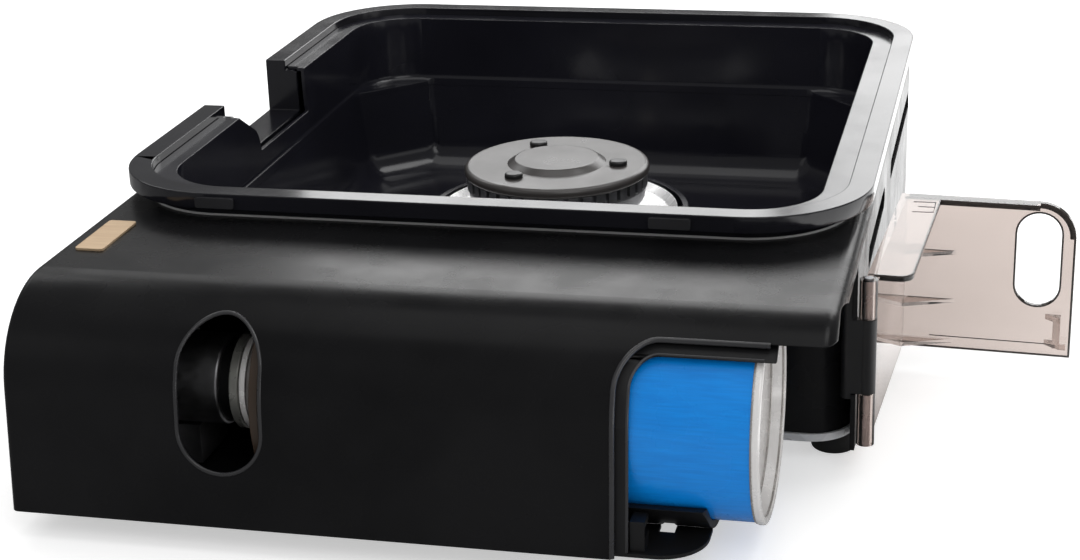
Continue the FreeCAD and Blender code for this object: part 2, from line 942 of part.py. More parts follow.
RECEIVER_FRONT = as_size(4.2)
receiver = box(
    "receiver_block",
    (frame_edge + 0.4, RECEIVER_FRONT, v.pan_thick),
    (4.6, 7, 10),
)
receiver_slot = box(
    "receiver_slot",
    (frame_edge + 2.4, RECEIVER_FRONT + 0.8, v.pan_thick + 4.2),
    (5, 7, 3.6),
)
node("latch_receiver", cut("receiver_cut", receiver, receiver_slot))

SHIELD_Y = BAY_BACK + 2
node(
    "heat_shield",
    strip(
        "shield_body",
        (v.bay_wall_left + 12, 0, 0),
        v.shell_width - v.bay_wall_left - 34,
        [
            (SHIELD_Y, v.pan_thick),
            (SHIELD_Y + 10, v.pan_thick),
            (SHIELD_Y + 10, v.pan_thick + 0.8),
            (SHIELD_Y + 0.8, v.pan_thick + 0.8, 1.0),
            (SHIELD_Y + 0.8, v.well_seat_up - 4),
            (SHIELD_Y, v.well_seat_up - 4),
        ],
    ),
)

# Rim frame with the spout, its clips and the drip well

MOUTH = v.well_mouth_inset
ring_top = plate(
    "ring_top", (0, 0, RIM_LOW), v.rim_skirt, rim_loop(0), rim_loop(v.rim_flange)
)
FOOT_IN = v.rim_foot_inset + v.rim_foot_wide
WELL_LEDGE = LEDGE_UP - WELL_FLANGE
ring_foot = plate(
    "ring_foot",
    (0, 0, v.shell_height),
    WELL_LEDGE - v.shell_height,
    rim_loop(v.rim_foot_inset),
    rim_loop(FOOT_IN),
)
SPOUT_IN = RIM_LEFT + FOOT_IN + 1.5
spout_long = v.spout_back - v.spout_front
spout_box = box(
    "spout_box",
    (RIM_LEFT, v.spout_front - v.spout_wall, v.spout_sill - v.spout_wall),
    (SPOUT_IN - RIM_LEFT, spout_long + v.spout_wall * 2, RIM_LOW - v.spout_sill + v.spout_wall + 1),
)
spout_space = box(
    "spout_space",
    (RIM_LEFT - 1, v.spout_front, v.spout_sill),
    (SPOUT_IN - RIM_LEFT + 12, spout_long, v.rim_top - v.spout_sill + 1),
)
node(
    "rim_frame",
    cut("frame_ring_cut", fuse("rim_ring", ring_top, ring_foot, spout_box), spout_space),
)

CLIP_LONG = 14.0
CLIP_X = [RIM_LEFT + 39, RIM_LEFT + v.rim_width - 70]
clips = []
for number, x in enumerate(CLIP_X):
    for y, side in ((v.rim_front - 1.2, "front"), (v.rim_front + v.rim_depth, "back")):
        clip = upright(
            "clip_%s%d" % (side, number),
            (0, y, 0),
            1.2,
            rectangle(x, RIM_LOW + 0.8, x + CLIP_LONG, RIM_LOW + 4.6, 0.8),
        )
        clips.append(clip)
node("rim_clips", group("clips_group", clips))

BURNER = (v.burner_x, v.burner_y)
WELL_HOLE = v.reflector_radius + v.well_hole_gap
COLLAR_OUT = WELL_HOLE + 8
COLLAR_TOP = v.head_low + v.reflector_rise
TUNNEL_UP = v.tube_up + v.mixing_radius + 1 + v.tunnel_gap
TUNNEL_HALF = v.mixing_radius + 4.5


def seat_loop(inset):
    """Plan of the lower well, whose corners are cut straight to leave the four seats."""
    left = RIM_LEFT + inset
    front = v.rim_front + inset
    right = RIM_LEFT + v.rim_width - inset
    back = v.rim_front + v.rim_depth - inset
    leg = v.well_seat_cut
    marks = [
        (left + leg, front),
        (right - leg, front),
        (right, front + leg),
        (right, back - leg),
        (right - leg, back),
        (left + leg, back),
        (left, back - leg),
        (left, front + leg),
    ]
    return [mark + (v.well_seat_round,) for mark in marks]


def well_space(name, grow, rise):
    """The hollow of the well, or its outer form when grown by the wall."""
    seat = v.well_seat_up - grow
    floor = v.well_floor_up - grow
    top = LEDGE_UP + rise
    upper = plate(
        name + "_upper", (0, 0, top), top - seat, rim_loop(MOUTH - grow), taper=-1.6, down=True
    )
    round_edges(upper, 3.0 + grow, lambda b: b.ZMax < -as_size(top - seat).value + 0.01)
    lower = plate(
        name + "_lower",
        (0, 0, seat + 2),
        seat + 2 - floor,
        seat_loop(v.well_seat_inset - grow),
        taper=-8,
        down=True,
    )
    round_edges(lower, v.well_round + grow, lambda b: b.ZMax < -as_size(seat + 2 - floor).value + 0.01)
    return fuse(name + "_both", upper, lower)


flange = plate("well_flange", (0, 0, WELL_LEDGE), WELL_FLANGE, rim_loop(v.rim_flange + v.well_gap))
well_outer = fuse("well_outer", flange, well_space("well_out", v.well_wall, as_size(0)))
well_inner = well_space("well_in", as_size(0), as_size(1))
collar = turned(
    "well_collar",
    BURNER + (0,),
    [
        (WELL_HOLE, COLLAR_TOP),
        (WELL_HOLE, COLLAR_TOP - 3),
        (COLLAR_OUT - 3, v.well_floor_up - v.well_wall),
        (COLLAR_OUT, v.well_floor_up - v.well_wall),
        (COLLAR_OUT, v.well_floor_up, 1),
        (WELL_HOLE + 2.2, COLLAR_TOP),
    ],
)
well_hole = rod("well_hole", COLLAR_OUT - 0.5, 11, BURNER + (v.well_floor_up - 10,))


def tunnel(name, half, top, end):
    """Room above the floor, from the left wall to the collar, around the mixing tube."""
    return box(
        name, (RIM_LEFT, v.burner_y - half, 0), (v.burner_x - WELL_HOLE + end - RIM_LEFT, half * 2, top)
    )


tunnel_roof = tunnel("tunnel_roof", TUNNEL_HALF + v.well_wall, TUNNEL_UP + v.well_wall, -3.3)
tunnel_way = tunnel("tunnel_way", TUNNEL_HALF, TUNNEL_UP, 2.0)
well_hollow = cut("well_hollow", well_inner, tunnel_roof)
SLOPE_END = v.spout_front - 11
pour_cut = strip(
    "pour_cut",
    (RIM_LEFT - 1, 0, 0),
    MOUTH + 6,
    [
        (v.spout_back - v.well_gap, v.spout_sill),
        (v.spout_back - v.well_gap, v.rim_top + 2),
        (SLOPE_END, v.rim_top + 2),
        (SLOPE_END + 4, v.rim_top - 3, 9),
        (v.spout_front + 11, v.spout_sill + 8, 9),
        (v.spout_front + 13, v.spout_sill),
    ],
)
spout_room = box(
    "spout_room",
    (RIM_LEFT - 1, v.spout_front - v.spout_wall - v.well_gap, v.spout_sill - 10),
    (SPOUT_IN - RIM_LEFT + 1 + v.well_gap, spout_long + (v.spout_wall + v.well_gap) * 2, 40),
)
well_sheet = cut(
    "well_cut",
    fuse("well_whole", cut("well_bowl", well_outer, well_hollow, well_hole), collar),
    pour_cut,
    spout_room,
    tunnel_way,
)
# The stamped well is kept as two solids that meet just below its seats
well_top_room = box(
    "well_top_room",
    (RIM_LEFT, v.rim_front, v.well_seat_up - v.well_wall - 0.5),
    (v.rim_width, v.rim_depth, v.rim_top),
)
node(
    "drip_well",
    group(
        "well_group",
        [
            common("well_upper", well_sheet, well_top_room),
            cut("well_lower", well_sheet, well_top_room),
        ],
    ),
)

# Burner


def burner_turned(name, outline):
    return turned(name, BURNER + (0,), outline)


CUP_OUT = v.base_cup_radius
CUP_LOW = v.pan_thick + v.bracket_thick
base_cup = burner_turned(
    "cup_body",
    [
        (0, CUP_LOW),
        (CUP_OUT, CUP_LOW, 3),
        (CUP_OUT, v.head_low - 1.2),
        (CUP_OUT + 4, v.head_low - 1.2),
        (CUP_OUT + 4, v.head_low),
        (CUP_OUT - 2, v.head_low),
        (CUP_OUT - 2, CUP_LOW + 2, 2),
        (0, CUP_LOW + 2),
    ],
)
tube_hole = rod(
    "tube_hole",
    v.mixing_radius + v.fit_gap,
    20,
    (v.burner_x - CUP_OUT - 10, v.burner_y, v.tube_up),
    "x",
)
node("burner_base", cut("base_cup_cut", base_cup, tube_hole))

node(
    "burner_bracket",
    cut(
        "bracket_cut",
        box(
            "bracket_box",
            (v.burner_x - 45, v.burner_y - 12, v.pan_thick),
            (90, 24, CUP_LOW - v.pan_thick),
        ),
        *[
            rod("bracket_hole%d" % i, v.screw_radius, 10, (v.burner_x + side * 38, v.burner_y, 0))
            for i, side in enumerate((-1, 1))
        ],
    ),
)
bracket_screws = []
for number, side in enumerate((-1, 1)):
    bracket_screws.append(
        turned(
            "bracket_screw%d" % number,
            (v.burner_x + side * 38, v.burner_y, 0),
            [
                (0, v.pan_thick + 0.1),
                (v.screw_radius, v.pan_thick + 0.1),
                (v.screw_radius, CUP_LOW),
                (2.8, CUP_LOW),
                (2.8, CUP_LOW + 1.1, 0.6),
                (0, CUP_LOW + 1.1),
            ],
        )
    )
node("bracket_screws", group("bracket_screws_group", bracket_screws))

PORT_OUT = v.cap_radius - 0.9
node(
    "burner_head",
    burner_turned(
        "head_body",
        [
            (CUP_OUT - 6, v.head_low),
            (CUP_OUT - 0.6, v.head_low),
            (CUP_OUT + 0.4, v.head_low + 5, 2),
            (PORT_OUT - 1.2, v.port_low - 5, 2),
            (PORT_OUT - 0.4, v.port_low),
            (CUP_OUT + 2, v.port_low),
            (CUP_OUT - 4, v.head_low + 8, 3),
        ],
    ),
)

port_body = doc.addObject("PartDesign::Body", "port_body")
port_sketch = sketch_on(
    port_body,
    "port_ring_plan",
    "XY_Plane",
    ((0, 0), PORT_OUT),
    ((0, 0), PORT_OUT - 3.6),
)
add_pad(port_body, port_sketch, v.cap_low - v.port_low)
put(port_body, BURNER + (v.port_low,))
slot = port_body.newObject("Sketcher::SketchObject", "port_slot_plan")
slot.AttachmentSupport = [(plane_of(port_body, "XY_Plane"), "")]
slot.MapMode = "FlatFace"
bind(slot, "AttachmentOffset.Base.z", v.cap_low - v.port_low)
draw_loop(slot, rectangle(PORT_OUT - v.port_deep, -v.port_wide / 2, PORT_OUT + 2, v.port_wide / 2))
port_slot = port_body.newObject("PartDesign::Pocket", "port_slot")
port_slot.Profile = slot
bind(port_slot, "Length", v.cap_low - v.port_low - 1)
slots = port_body.newObject("PartDesign::PolarPattern", "port_slots")
slots.Originals = [port_slot]
slots.Axis = (plane_of(port_body, "Z_Axis"), [""])
slots.Angle = 360
bind(slots, "Occurrences", v.port_count)
port_body.Tip = slots
node("port_ring", port_body)

CAP_TOP = v.cap_low + v.cap_thick
cap = burner_turned(
    "cap_body",
    [
        (0, v.cap_low),
        (v.cap_radius, v.cap_low, 1.6),
        (v.cap_radius, CAP_TOP, 2),
        (v.cap_boss + 3, CAP_TOP),
        (v.cap_boss, CAP_TOP + v.cap_boss_up, 1.5),
        (v.cap_boss - 3, CAP_TOP + v.cap_boss_up),
        (0, CAP_TOP + v.cap_boss_up),
    ],
)
rivet_places = []
RIVETS = int(v.rivet_count.value)
for number in range(RIVETS):
    turn = 2 * math.pi * number / RIVETS
    x = v.burner_x + v.rivet_ring * math.cos(turn)
    y = v.burner_y + v.rivet_ring * math.sin(turn)
    rivet_places.append((x, y))
cap_holes = [
    rod("cap_hole%d" % i, v.rivet_radius * 0.5, 20, (x, y, v.cap_low - 5))
    for i, (x, y) in enumerate(rivet_places)
]
node("burner_cap", cut("cap_cut", cap, *cap_holes))
rivets = []
for number, (x, y) in enumerate(rivet_places):
    rivets.append(
        turned(
            "rivet%d" % number,
            (x, y, v.cap_low),
            [
                (0, 0),
                (v.rivet_radius * 0.5, 0),
                (v.rivet_radius * 0.5, v.cap_thick),
                (v.rivet_radius, v.cap_thick),
                (v.rivet_radius, v.cap_thick + 1.8, 1),
                (0, v.cap_thick + 1.8),
            ],
        )
    )
node("cap_rivets", group("rivets_group", rivets))

DISH = v.reflector_thick
ELECTRODE = (v.burner_x, v.burner_y + v.cap_radius + 5)
dish = burner_turned(
    "dish_body",
    [
        (CUP_OUT + 0.3, v.head_low),
        (CUP_OUT + 4, v.head_low, 1),
        (v.reflector_radius - 3, v.head_low + 3.6, 1),
        (v.reflector_radius, v.head_low + v.reflector_rise - DISH),
        (v.reflector_radius, v.head_low + v.reflector_rise),
        (v.reflector_radius - 3, v.head_low + 3.6 + DISH, 1),
        (CUP_OUT + 4, v.head_low + DISH, 1),
        (CUP_OUT + 0.3, v.head_low + DISH),
    ],
)
dish_hole = rod("dish_hole", 2.6, 20, ELECTRODE + (v.head_low - 5,))
node("reflector", cut("dish_cut", dish, dish_hole))

CERAMIC_LOW = v.tube_up
LEAD_UP = v.pan_thick + 3
ceramic_top = v.head_low + 12
ceramic = turned(
    "ceramic_body",
    ELECTRODE + (0,),
    [
        (0.8, CERAMIC_LOW),
        (2.5, CERAMIC_LOW),
        (2.5, v.head_low + 5.8),
        (3.6, v.head_low + 5.8),
        (3.6, v.head_low + 8, 1),
        (2.2, ceramic_top),
        (0.8, ceramic_top),
    ],
)
node("electrode_ceramic", ceramic)
node(
    "electrode",
    rod("electrode_rod", 0.8, v.port_low + 3 - LEAD_UP, ELECTRODE + (LEAD_UP,)),
)

# Gas line: mixing tube, injector, gas tube and its nuts

TUBE_END = v.burner_x - CUP_OUT + 2
TUBE_START = as_size(38.0)
tube_long = TUBE_END - TUBE_START
node(
    "mixing_tube",
    turned(
        "mixing_body",
        (TUBE_START, v.burner_y, v.tube_up),
        [
            (v.mixing_radius, 0),
            (v.mixing_radius + 1, 0),
            (v.mixing_radius + 1, 4, 2),
            (v.mixing_radius - 1, 16, 6),
            (v.mixing_radius, 30, 6),
            (v.mixing_radius, tube_long),
            (v.mixing_radius - 1, tube_long),
            (v.mixing_radius - 1, 30, 6),
            (v.mixing_radius - 2, 16, 6),
            (v.mixing_radius, 4, 2),
        ],
        "x",
    ),
)

INJECTOR_END = TUBE_START + 3
INJECTOR_LONG = 18.0
injector_start = INJECTOR_END - INJECTOR_LONG
hexagon = []
for number in range(6):
    turn = math.radians(60 * number + 30)
    hexagon.append((5 * math.cos(turn), 5 * math.sin(turn)))
injector_hex = strip(
    "injector_hex", (injector_start + 5, v.burner_y, v.tube_up), as_size(6.0), hexagon
)
injector_nose = turned(
    "injector_nose",
    (injector_start, v.burner_y, v.tube_up),
    [
        (v.gas_tube_radius + v.fit_gap, 0),
        (3.4, 0),
        (3.4, INJECTOR_LONG - 4),
        (2.0, INJECTOR_LONG),
        (0.5, INJECTOR_LONG),
        (0.5, 8),
        (v.gas_tube_radius + v.fit_gap, 8),
    ],
    "x",
)
injector_bore = rod(
    "injector_bore", v.gas_tube_radius + v.fit_gap, 30, (injector_start + 5, v.burner_y, v.tube_up), "x"
)
node(
    "injector",
    fuse("injector_whole", cut("injector_hex_cut", injector_hex, injector_bore), injector_nose),
)
mount_tab = strip(
    "injector_tab",
    (injector_start + 12, v.burner_y, 0),
    1.6,
    rectangle(-9, v.pan_thick, 9, v.tube_up + 6, 2),
)
tab_hole = rod("tab_hole", 3.5, 20, (injector_start, v.burner_y, v.tube_up), "x")
node("injector_bracket", cut("injector_tab_cut", mount_tab, tab_hole))

REG_X = v.regulator_left
REG_LONG = v.regulator_long
REG_RADIUS = v.regulator_radius
LINE_X = 16.0
OUTLET_Y = CAN_Y + REG_RADIUS + 2
LINE_TURN_Y = CAN_Y + 42
pipe = doc.addObject("PartDesign::Body", "gas_tube_body")
route = pipe.newObject("Sketcher::SketchObject", "gas_tube_route")
route.AttachmentSupport = [(plane_of(pipe, "XY_Plane"), "")]
route.MapMode = "FlatFace"


def draw_route(sketch, points):
    """Draw an open route of straight runs with round turns, held at its points."""
    marks = [FreeCAD.Vector(as_size(p[0]).value, as_size(p[1]).value, 0) for p in points]
    bends = {}
    for i in range(1, len(points) - 1):
        bends[i] = corner_arc(marks[i - 1], marks[i], marks[i + 1], as_size(points[i][2]).value)
    corners = []
    for mark, point in zip(marks, points):
        index = sketch.addGeometry(Part.Point(mark), True)
        pin(sketch, index, point)
        corners.append(index)
    runs = []
    for i in range(len(points) - 1):
        start = bends[i][2] if i in bends else marks[i]
        end = bends[i + 1][0] if i + 1 in bends else marks[i + 1]
        runs.append(sketch.addGeometry(Part.LineSegment(start, end), False))
        if i == 0:
            sketch.addConstraint(Sketcher.Constraint("Coincident", runs[0], 1, corners[0], 1))
        else:
            arc = sketch.addGeometry(Part.Arc(*bends[i]), False)
            join_arc(sketch, arc, runs[i - 1], runs[i], bends[i])
            for line in (runs[i - 1], runs[i]):
                sketch.addConstraint(Sketcher.Constraint("PointOnObject", corners[i], 1, line))
            bend = as_size(points[i][2])
            number = sketch.addConstraint(Sketcher.Constraint("Radius", arc, bend.value))
            bind(sketch, "Constraints[%d]" % number, bend)
    sketch.addConstraint(Sketcher.Constraint("Coincident", runs[-1], 2, corners[-1], 1))


def swept(body, name, sketch, start, radius, up=0.0):
    """A round tube of this radius along the sketch's route, which starts along y."""
    doc.recompute()
    section = body.newObject("Sketcher::SketchObject", name + "_section")
    section.AttachmentSupport = [(plane_of(body, "XZ_Plane"), "")]
    section.MapMode = "FlatFace"
    bind(section, "AttachmentOffset.Base.z", -as_size(start[1]))
    draw_circle(section, (start[0], up), radius)
    pipe_feature = body.newObject("PartDesign::AdditivePipe", name + "_pipe")
    pipe_feature.Profile = section
    pipe_feature.Spine = sketch
    return pipe_feature


line_start = (REG_X + 8, OUTLET_Y)
draw_route(
    route,
    [
        line_start,
        (REG_X + 8, LINE_TURN_Y, 8),
        (LINE_X, LINE_TURN_Y, 8),
        (LINE_X, v.burner_y, 8),
        (injector_start + 6, v.burner_y),
    ],
)
swept(pipe, "gas_tube", route, line_start, v.gas_tube_radius)
put(pipe, (0, 0, v.tube_up))
node("gas_tube", pipe)

# Regulator with its magnet and seal, its bracket and screws

regulator_barrel = turned(
    "regulator_barrel",
    (REG_X, CAN_Y, CAN_Z),
    [
        (v.spindle_radius + v.fit_gap, 0),
        (REG_RADIUS + 5, 0),
        (REG_RADIUS + 5, 6, 1.0),
        (REG_RADIUS, 6),
        (REG_RADIUS, REG_LONG, 1),
        (8, REG_LONG),
        (8, REG_LONG - 6),
        (v.spindle_radius + v.fit_gap, REG_LONG - 6),
    ],
    "x",
)
outlet = box(
    "regulator_outlet",
    (REG_X + 3, CAN_Y - 6, v.tube_up - 6),
    (12, OUTLET_Y - CAN_Y + 6, 13.6),
)
outlet_keep = rod("outlet_keep", REG_RADIUS - 1, 40, (REG_X - 5, CAN_Y, CAN_Z), "x")
outlet_bore = rod(
    "outlet_bore",
    v.gas_tube_radius + v.fit_gap,
    8,
    (REG_X + 8, OUTLET_Y - 5, v.tube_up),
    "y",
)
regulator_blank = fuse(
    "regulator_whole", regulator_barrel, cut("outlet_cut", outlet, outlet_keep, outlet_bore)
)
node(
    "tube_nut",
    turned(
        "nut_body",
        (REG_X + 8, OUTLET_Y, v.tube_up),
        [
            (v.gas_tube_radius + v.fit_gap, 0),
            (4.5, 0, 0.6),
            (4.5, 6, 0.6),
            (v.gas_tube_radius + v.fit_gap, 6),
        ],
        "y",
    ),
)

SCREW_RING = REG_RADIUS + 2.6
screw_angles = (45, 135, 225, 315)


def ring_point(angle):
    turn = math.radians(angle)
    return CAN_Y + SCREW_RING * math.cos(turn), CAN_Z + SCREW_RING * math.sin(turn)


BRACKET_THICK = 1.5
bracket_wall = strip(
    "reg_bracket_wall",
    (REG_X - BRACKET_THICK, 0, 0),
    BRACKET_THICK,
    rectangle(CAN_Y - 27, v.pan_thick, CAN_Y + 27, CAN_Z + 24, 3),
)
bracket_foot = box(
    "reg_bracket_foot", (REG_X - 14, CAN_Y - 24, v.pan_thick), (14, 34, BRACKET_THICK)
)
bracket_eye = rod("reg_bracket_eye", v.spindle_radius + 1.5, 20, (REG_X - 10, CAN_Y, CAN_Z), "x")
ring_holes = []
regulator_screws = []
for number, angle in enumerate(screw_angles):
    y, z = ring_point(angle)
    ring_holes.append(rod("ring_hole%d" % number, v.screw_radius * 0.8, 30, (REG_X - 10, y, z), "x"))
    regulator_screws.append(
        turned(
            "regulator_screw%d" % number,
            (REG_X - BRACKET_THICK, y, z),
            [
                (0, 0),
                (v.screw_radius * 0.8, 0),
                (v.screw_radius * 0.8, BRACKET_THICK + 6),
                (2.3, BRACKET_THICK + 6),
                (2.3, BRACKET_THICK + 7.6, 0.8),
                (0, BRACKET_THICK + 7.6),
            ],
            "x",
        )
    )
node(
    "regulator_bracket",
    cut(
        "reg_bracket_cut",
        fuse("reg_bracket_whole", bracket_wall, bracket_foot),
        bracket_eye,
        *ring_holes,
    ),
)
node(
    "regulator_body",
    cut(
        "regulator_drilled",
        regulator_blank,
        *[
            rod("reg_hole%d" % i, v.screw_radius * 0.8, 30, (REG_X - 10,) + ring_point(a), "x")
            for i, a in enumerate(screw_angles)
        ],
    ),
)
node("regulator_screws", group("regulator_screws_group", regulator_screws))

node(
    "magnet_ring",
    turned(
        "magnet_body",
        (v.magnet_back, CAN_Y, CAN_Z),
        [
            (9, 0),
            (v.can_cup_radius, 0, 0.4),
            (v.can_cup_radius, v.magnet_thick, 0.4),
            (9, v.magnet_thick),
        ],
        "x",
    ),
)
node(
    "magnet_holder",
    turned(
        "holder_body",
        (REG_X + REG_LONG, CAN_Y, CAN_Z),
        [
            (6.5, 0),
            (REG_RADIUS - 1.5, 0),
            (REG_RADIUS - 1.5, v.magnet_back - REG_X - REG_LONG),
            (8.9, v.magnet_back - REG_X - REG_LONG),
            (8.9, v.magnet_back - REG_X - REG_LONG + v.magnet_thick - 0.4),
            (6.5, v.magnet_back - REG_X - REG_LONG + v.magnet_thick - 0.4),
        ],
        "x",
    ),
)
CAN_FACE = v.magnet_back + v.magnet_thick + v.can_gap
STEM_TIP = CAN_FACE - v.can_stem_out
SEAL_LONG = 3.0
node(
    "seat_seal",
    turned(
        "seal_body",
        (STEM_TIP - v.can_gap - SEAL_LONG, CAN_Y, CAN_Z),
        [(1.2, 0), (7.9, 0), (7.9, SEAL_LONG, 0.5), (1.2, SEAL_LONG, 0.5)],
        "x",
    ),
)

# Knob, bezel and spindle with the igniter's cam

IGNITER_X = v.igniter_left

SPINDLE_END = REG_X + REG_LONG - 8
spindle_start = 2.0 - v.knob_out
spindle_rod = rod(
    "spindle_rod", v.spindle_radius, SPINDLE_END - spindle_start, (spindle_start, CAN_Y, CAN_Z), "x"
)
CAM_SWING = v.knob_turn / 2
CAM_OFFSET = v.plunger_travel / 2 / sine(CAM_SWING)
CAM_WIDE = 6.0
cam = rod(
    "igniter_cam",
    v.cam_radius,
    CAM_WIDE,
    (
        IGNITER_X - CAM_WIDE / 2,
        CAN_Y - CAM_OFFSET * sine(CAM_SWING),
        CAN_Z + CAM_OFFSET * cosine(CAM_SWING),
    ),
    "x",
)
node("valve_spindle", fuse("spindle_whole", spindle_rod, cam))
node(
    "knob_bezel",
    turned(
        "bezel_body",
        (as_size(0), CAN_Y, CAN_Z),
        [
            (v.knob_radius - 2, 0),
            (v.knob_radius + 4, 0),
            (v.knob_radius + 4, 1.2, 0.5),
            (v.knob_radius + 2.4, 2.4, 0.5),
            (v.knob_radius + 0.8, 2.4),
            (v.knob_radius + 0.8, 0.5),
            (v.knob_radius - 2, 0.5),
        ],
        "-x",
    ),
)
knob_skirt = turned(
    "knob_skirt",
    (-v.knob_gap, CAN_Y, CAN_Z),
    [
        (0, 0),
        (v.knob_radius, 0),
        (v.knob_radius, 4.5, 1.5),
        (v.knob_radius - 4, 6.5, 2),
        (0, 6.5),
    ],
    "-x",
)
knob_grip = strip(
    "knob_grip",
    (-v.knob_out, CAN_Y, CAN_Z),
    v.knob_out - v.knob_gap - 5,
    rectangle(-5.5, -v.knob_radius + 3, 5.5, v.knob_radius - 3, 4.5),
)
round_edges(knob_grip, 1.5, lambda b: b.XMax < 0.01)
knob_bore = rod(
    "knob_bore", v.spindle_radius, v.knob_out, (spindle_start, CAN_Y, CAN_Z), "x"
)
node("knob", cut("knob_cut", fuse("knob_whole", knob_skirt, knob_grip), knob_bore))

# Piezo igniter: body, sprung plunger, lead and its route to the electrode

IGNITER_Y = CAN_Y + v.igniter_behind
IGNITER_HALF = 6.0
igniter_low = CAN_Z - IGNITER_HALF
igniter_box = upright(
    "igniter_box",
    (0, IGNITER_Y, 0),
    24,
    rectangle(
        IGNITER_X - IGNITER_HALF,
        igniter_low,
        IGNITER_X + IGNITER_HALF,
        igniter_low + IGNITER_HALF * 2,
        1.5,
    ),
)
igniter_bore = rod(
    "igniter_bore",
    v.plunger_radius + v.fit_gap,
    14,
    (IGNITER_X, IGNITER_Y - 1, CAN_Z),
    "y",
)
igniter_arm = box(
    "igniter_arm",
    (IGNITER_X - IGNITER_HALF, IGNITER_Y + 2, v.pan_thick),
    (IGNITER_HALF * 2, 16, igniter_low - v.pan_thick),
)
arm_space = box(
    "arm_space",
    (IGNITER_X - IGNITER_HALF + 1.5, IGNITER_Y, v.pan_thick - 1),
    (IGNITER_HALF * 2 - 3, 30, igniter_low - v.pan_thick - 2),
)
node("piezo_igniter", cut("igniter_cut", igniter_box, igniter_bore))
node("igniter_bracket", cut("arm_cut", igniter_arm, arm_space))
PLUNGER_TIP = CAN_Y + v.cam_radius - v.plunger_travel / 2 + v.cam_gap
node(
    "igniter_plunger",
    rod(
        "plunger_rod",
        v.plunger_radius,
        IGNITER_Y - PLUNGER_TIP + 7,
        (IGNITER_X, PLUNGER_TIP, CAN_Z),
        "y",
    ),
)

LEAD_R = v.lead_radius
lead_drop_y = IGNITER_Y + 36
lead_body = doc.addObject("PartDesign::Body", "lead_body")
drop_route = lead_body.newObject("Sketcher::SketchObject", "lead_drop_route")
drop_route.AttachmentSupport = [(plane_of(lead_body, "YZ_Plane"), "")]
drop_route.MapMode = "FlatFace"
draw_route(
    drop_route,
    [
        (IGNITER_Y + 24, CAN_Z - LEAD_UP),
        (lead_drop_y, CAN_Z - LEAD_UP, 6),
        (lead_drop_y, 0, 8),
        (lead_drop_y + 24, 0),
    ],
)
swept(lead_body, "lead_drop", drop_route, (0, IGNITER_Y + 24), LEAD_R, CAN_Z - LEAD_UP)
floor_route = lead_body.newObject("Sketcher::SketchObject", "lead_floor_route")
floor_route.AttachmentSupport = [(plane_of(lead_body, "XY_Plane"), "")]
floor_route.MapMode = "FlatFace"
draw_route(
    floor_route,
    [
        (0, lead_drop_y + 24),
        (0, ELECTRODE[1], 16),
        (ELECTRODE[0] - IGNITER_X - 0.8, ELECTRODE[1]),
    ],
)
swept(lead_body, "lead_floor", floor_route, (0, lead_drop_y + 24), LEAD_R)
put(lead_body, (IGNITER_X, 0, LEAD_UP))
node("ignition_lead", lead_body)

# Gas can

CUP_FACE = CAN_FACE - v.can_end
IN_DISH = v.can_dish
TIN_IN = v.can_radius - v.label_thick - v.can_tin


def can_turned(name, outline):
    """A turned piece of the can, measured along x from its base end."""
    return turned(name, (v.can_end, CAN_Y, CAN_Z), outline, "x")


SEAM_OUT = v.can_radius + v.can_seam
node(
    "gas_can_base",
    can_turned(
        "can_base_body",
        [
            (0, -IN_DISH),
            (SEAM_OUT - 6, -IN_DISH, 4),
            (SEAM_OUT - 2.2, 0),
            (SEAM_OUT, 0, 1),
            (SEAM_OUT, -v.can_seam_long, 0.6),
            (SEAM_OUT - 2.7, -v.can_seam_long),
            (SEAM_OUT - 5.5, -IN_DISH - v.can_tin, 4 + v.can_tin),
            (0, -IN_DISH - v.can_tin),
        ],
    ),
)
NECK = v.can_neck
node(
    "gas_can_body",
    can_turned(
        "can_side_body",
        [
            (TIN_IN, -v.can_seam_long),
            (v.can_radius - v.label_thick, -v.can_seam_long),
            (v.can_radius - v.label_thick, 6 - v.can_body_long, 3),
            (v.can_radius - NECK, 3 - v.can_body_long, 2),
            (v.can_radius - NECK, -v.can_body_long),
            (v.can_radius - NECK - v.can_tin, -v.can_body_long),
            (v.can_radius - NECK - v.can_tin, 4 - v.can_body_long, 2),
            (TIN_IN, 7 - v.can_body_long, 3),
        ],
    ),
)
node(
    "gas_can_label",
    can_turned(
        "can_label_body",
        [
            (v.can_radius - v.label_thick, -v.can_seam_long - v.can_gap),
            (v.can_radius, -v.can_seam_long - v.can_gap),
            (v.can_radius, 10 - v.can_body_long),
            (v.can_radius - v.label_thick, 10 - v.can_body_long),
        ],
    ),
)
DOME_IN = v.can_cup_radius - 2
STEM_HOLE = v.stem_radius + v.fit_gap
STEM_BORE = 0.9
node(
    "gas_can_dome",
    can_turned(
        "can_dome_body",
        [
            (v.can_radius - 0.4, -v.can_body_long),
            (v.can_radius - 0.4, -v.can_body_long - 3, 0.8),
            (v.can_radius - 4, -v.can_body_long - 3, 1),
            (DOME_IN + 1.2, CUP_FACE + 2.2),
            (DOME_IN, CUP_FACE + 2.2),
            (DOME_IN, CUP_FACE + 3.2),
            (v.can_radius - 5.4, -v.can_body_long - 1.8),
            (v.can_radius - 5.4, -v.can_body_long),
        ],
    ),
)
node(
    "gas_can_cup",
    can_turned(
        "can_cup_body",
        [
            (STEM_HOLE, CUP_FACE + 4),
            (v.can_cup_radius - 3.5, CUP_FACE + 4, 1),
            (v.can_cup_radius - 2.5, CUP_FACE, 0.6),
            (v.can_cup_radius, CUP_FACE, 0.8),
            (v.can_cup_radius, CUP_FACE + 2.2),
            (DOME_IN, CUP_FACE + 2.2),
            (DOME_IN - 0.2, CUP_FACE + 5, 0.6),
            (STEM_HOLE, CUP_FACE + 5),
        ],
    ),
)
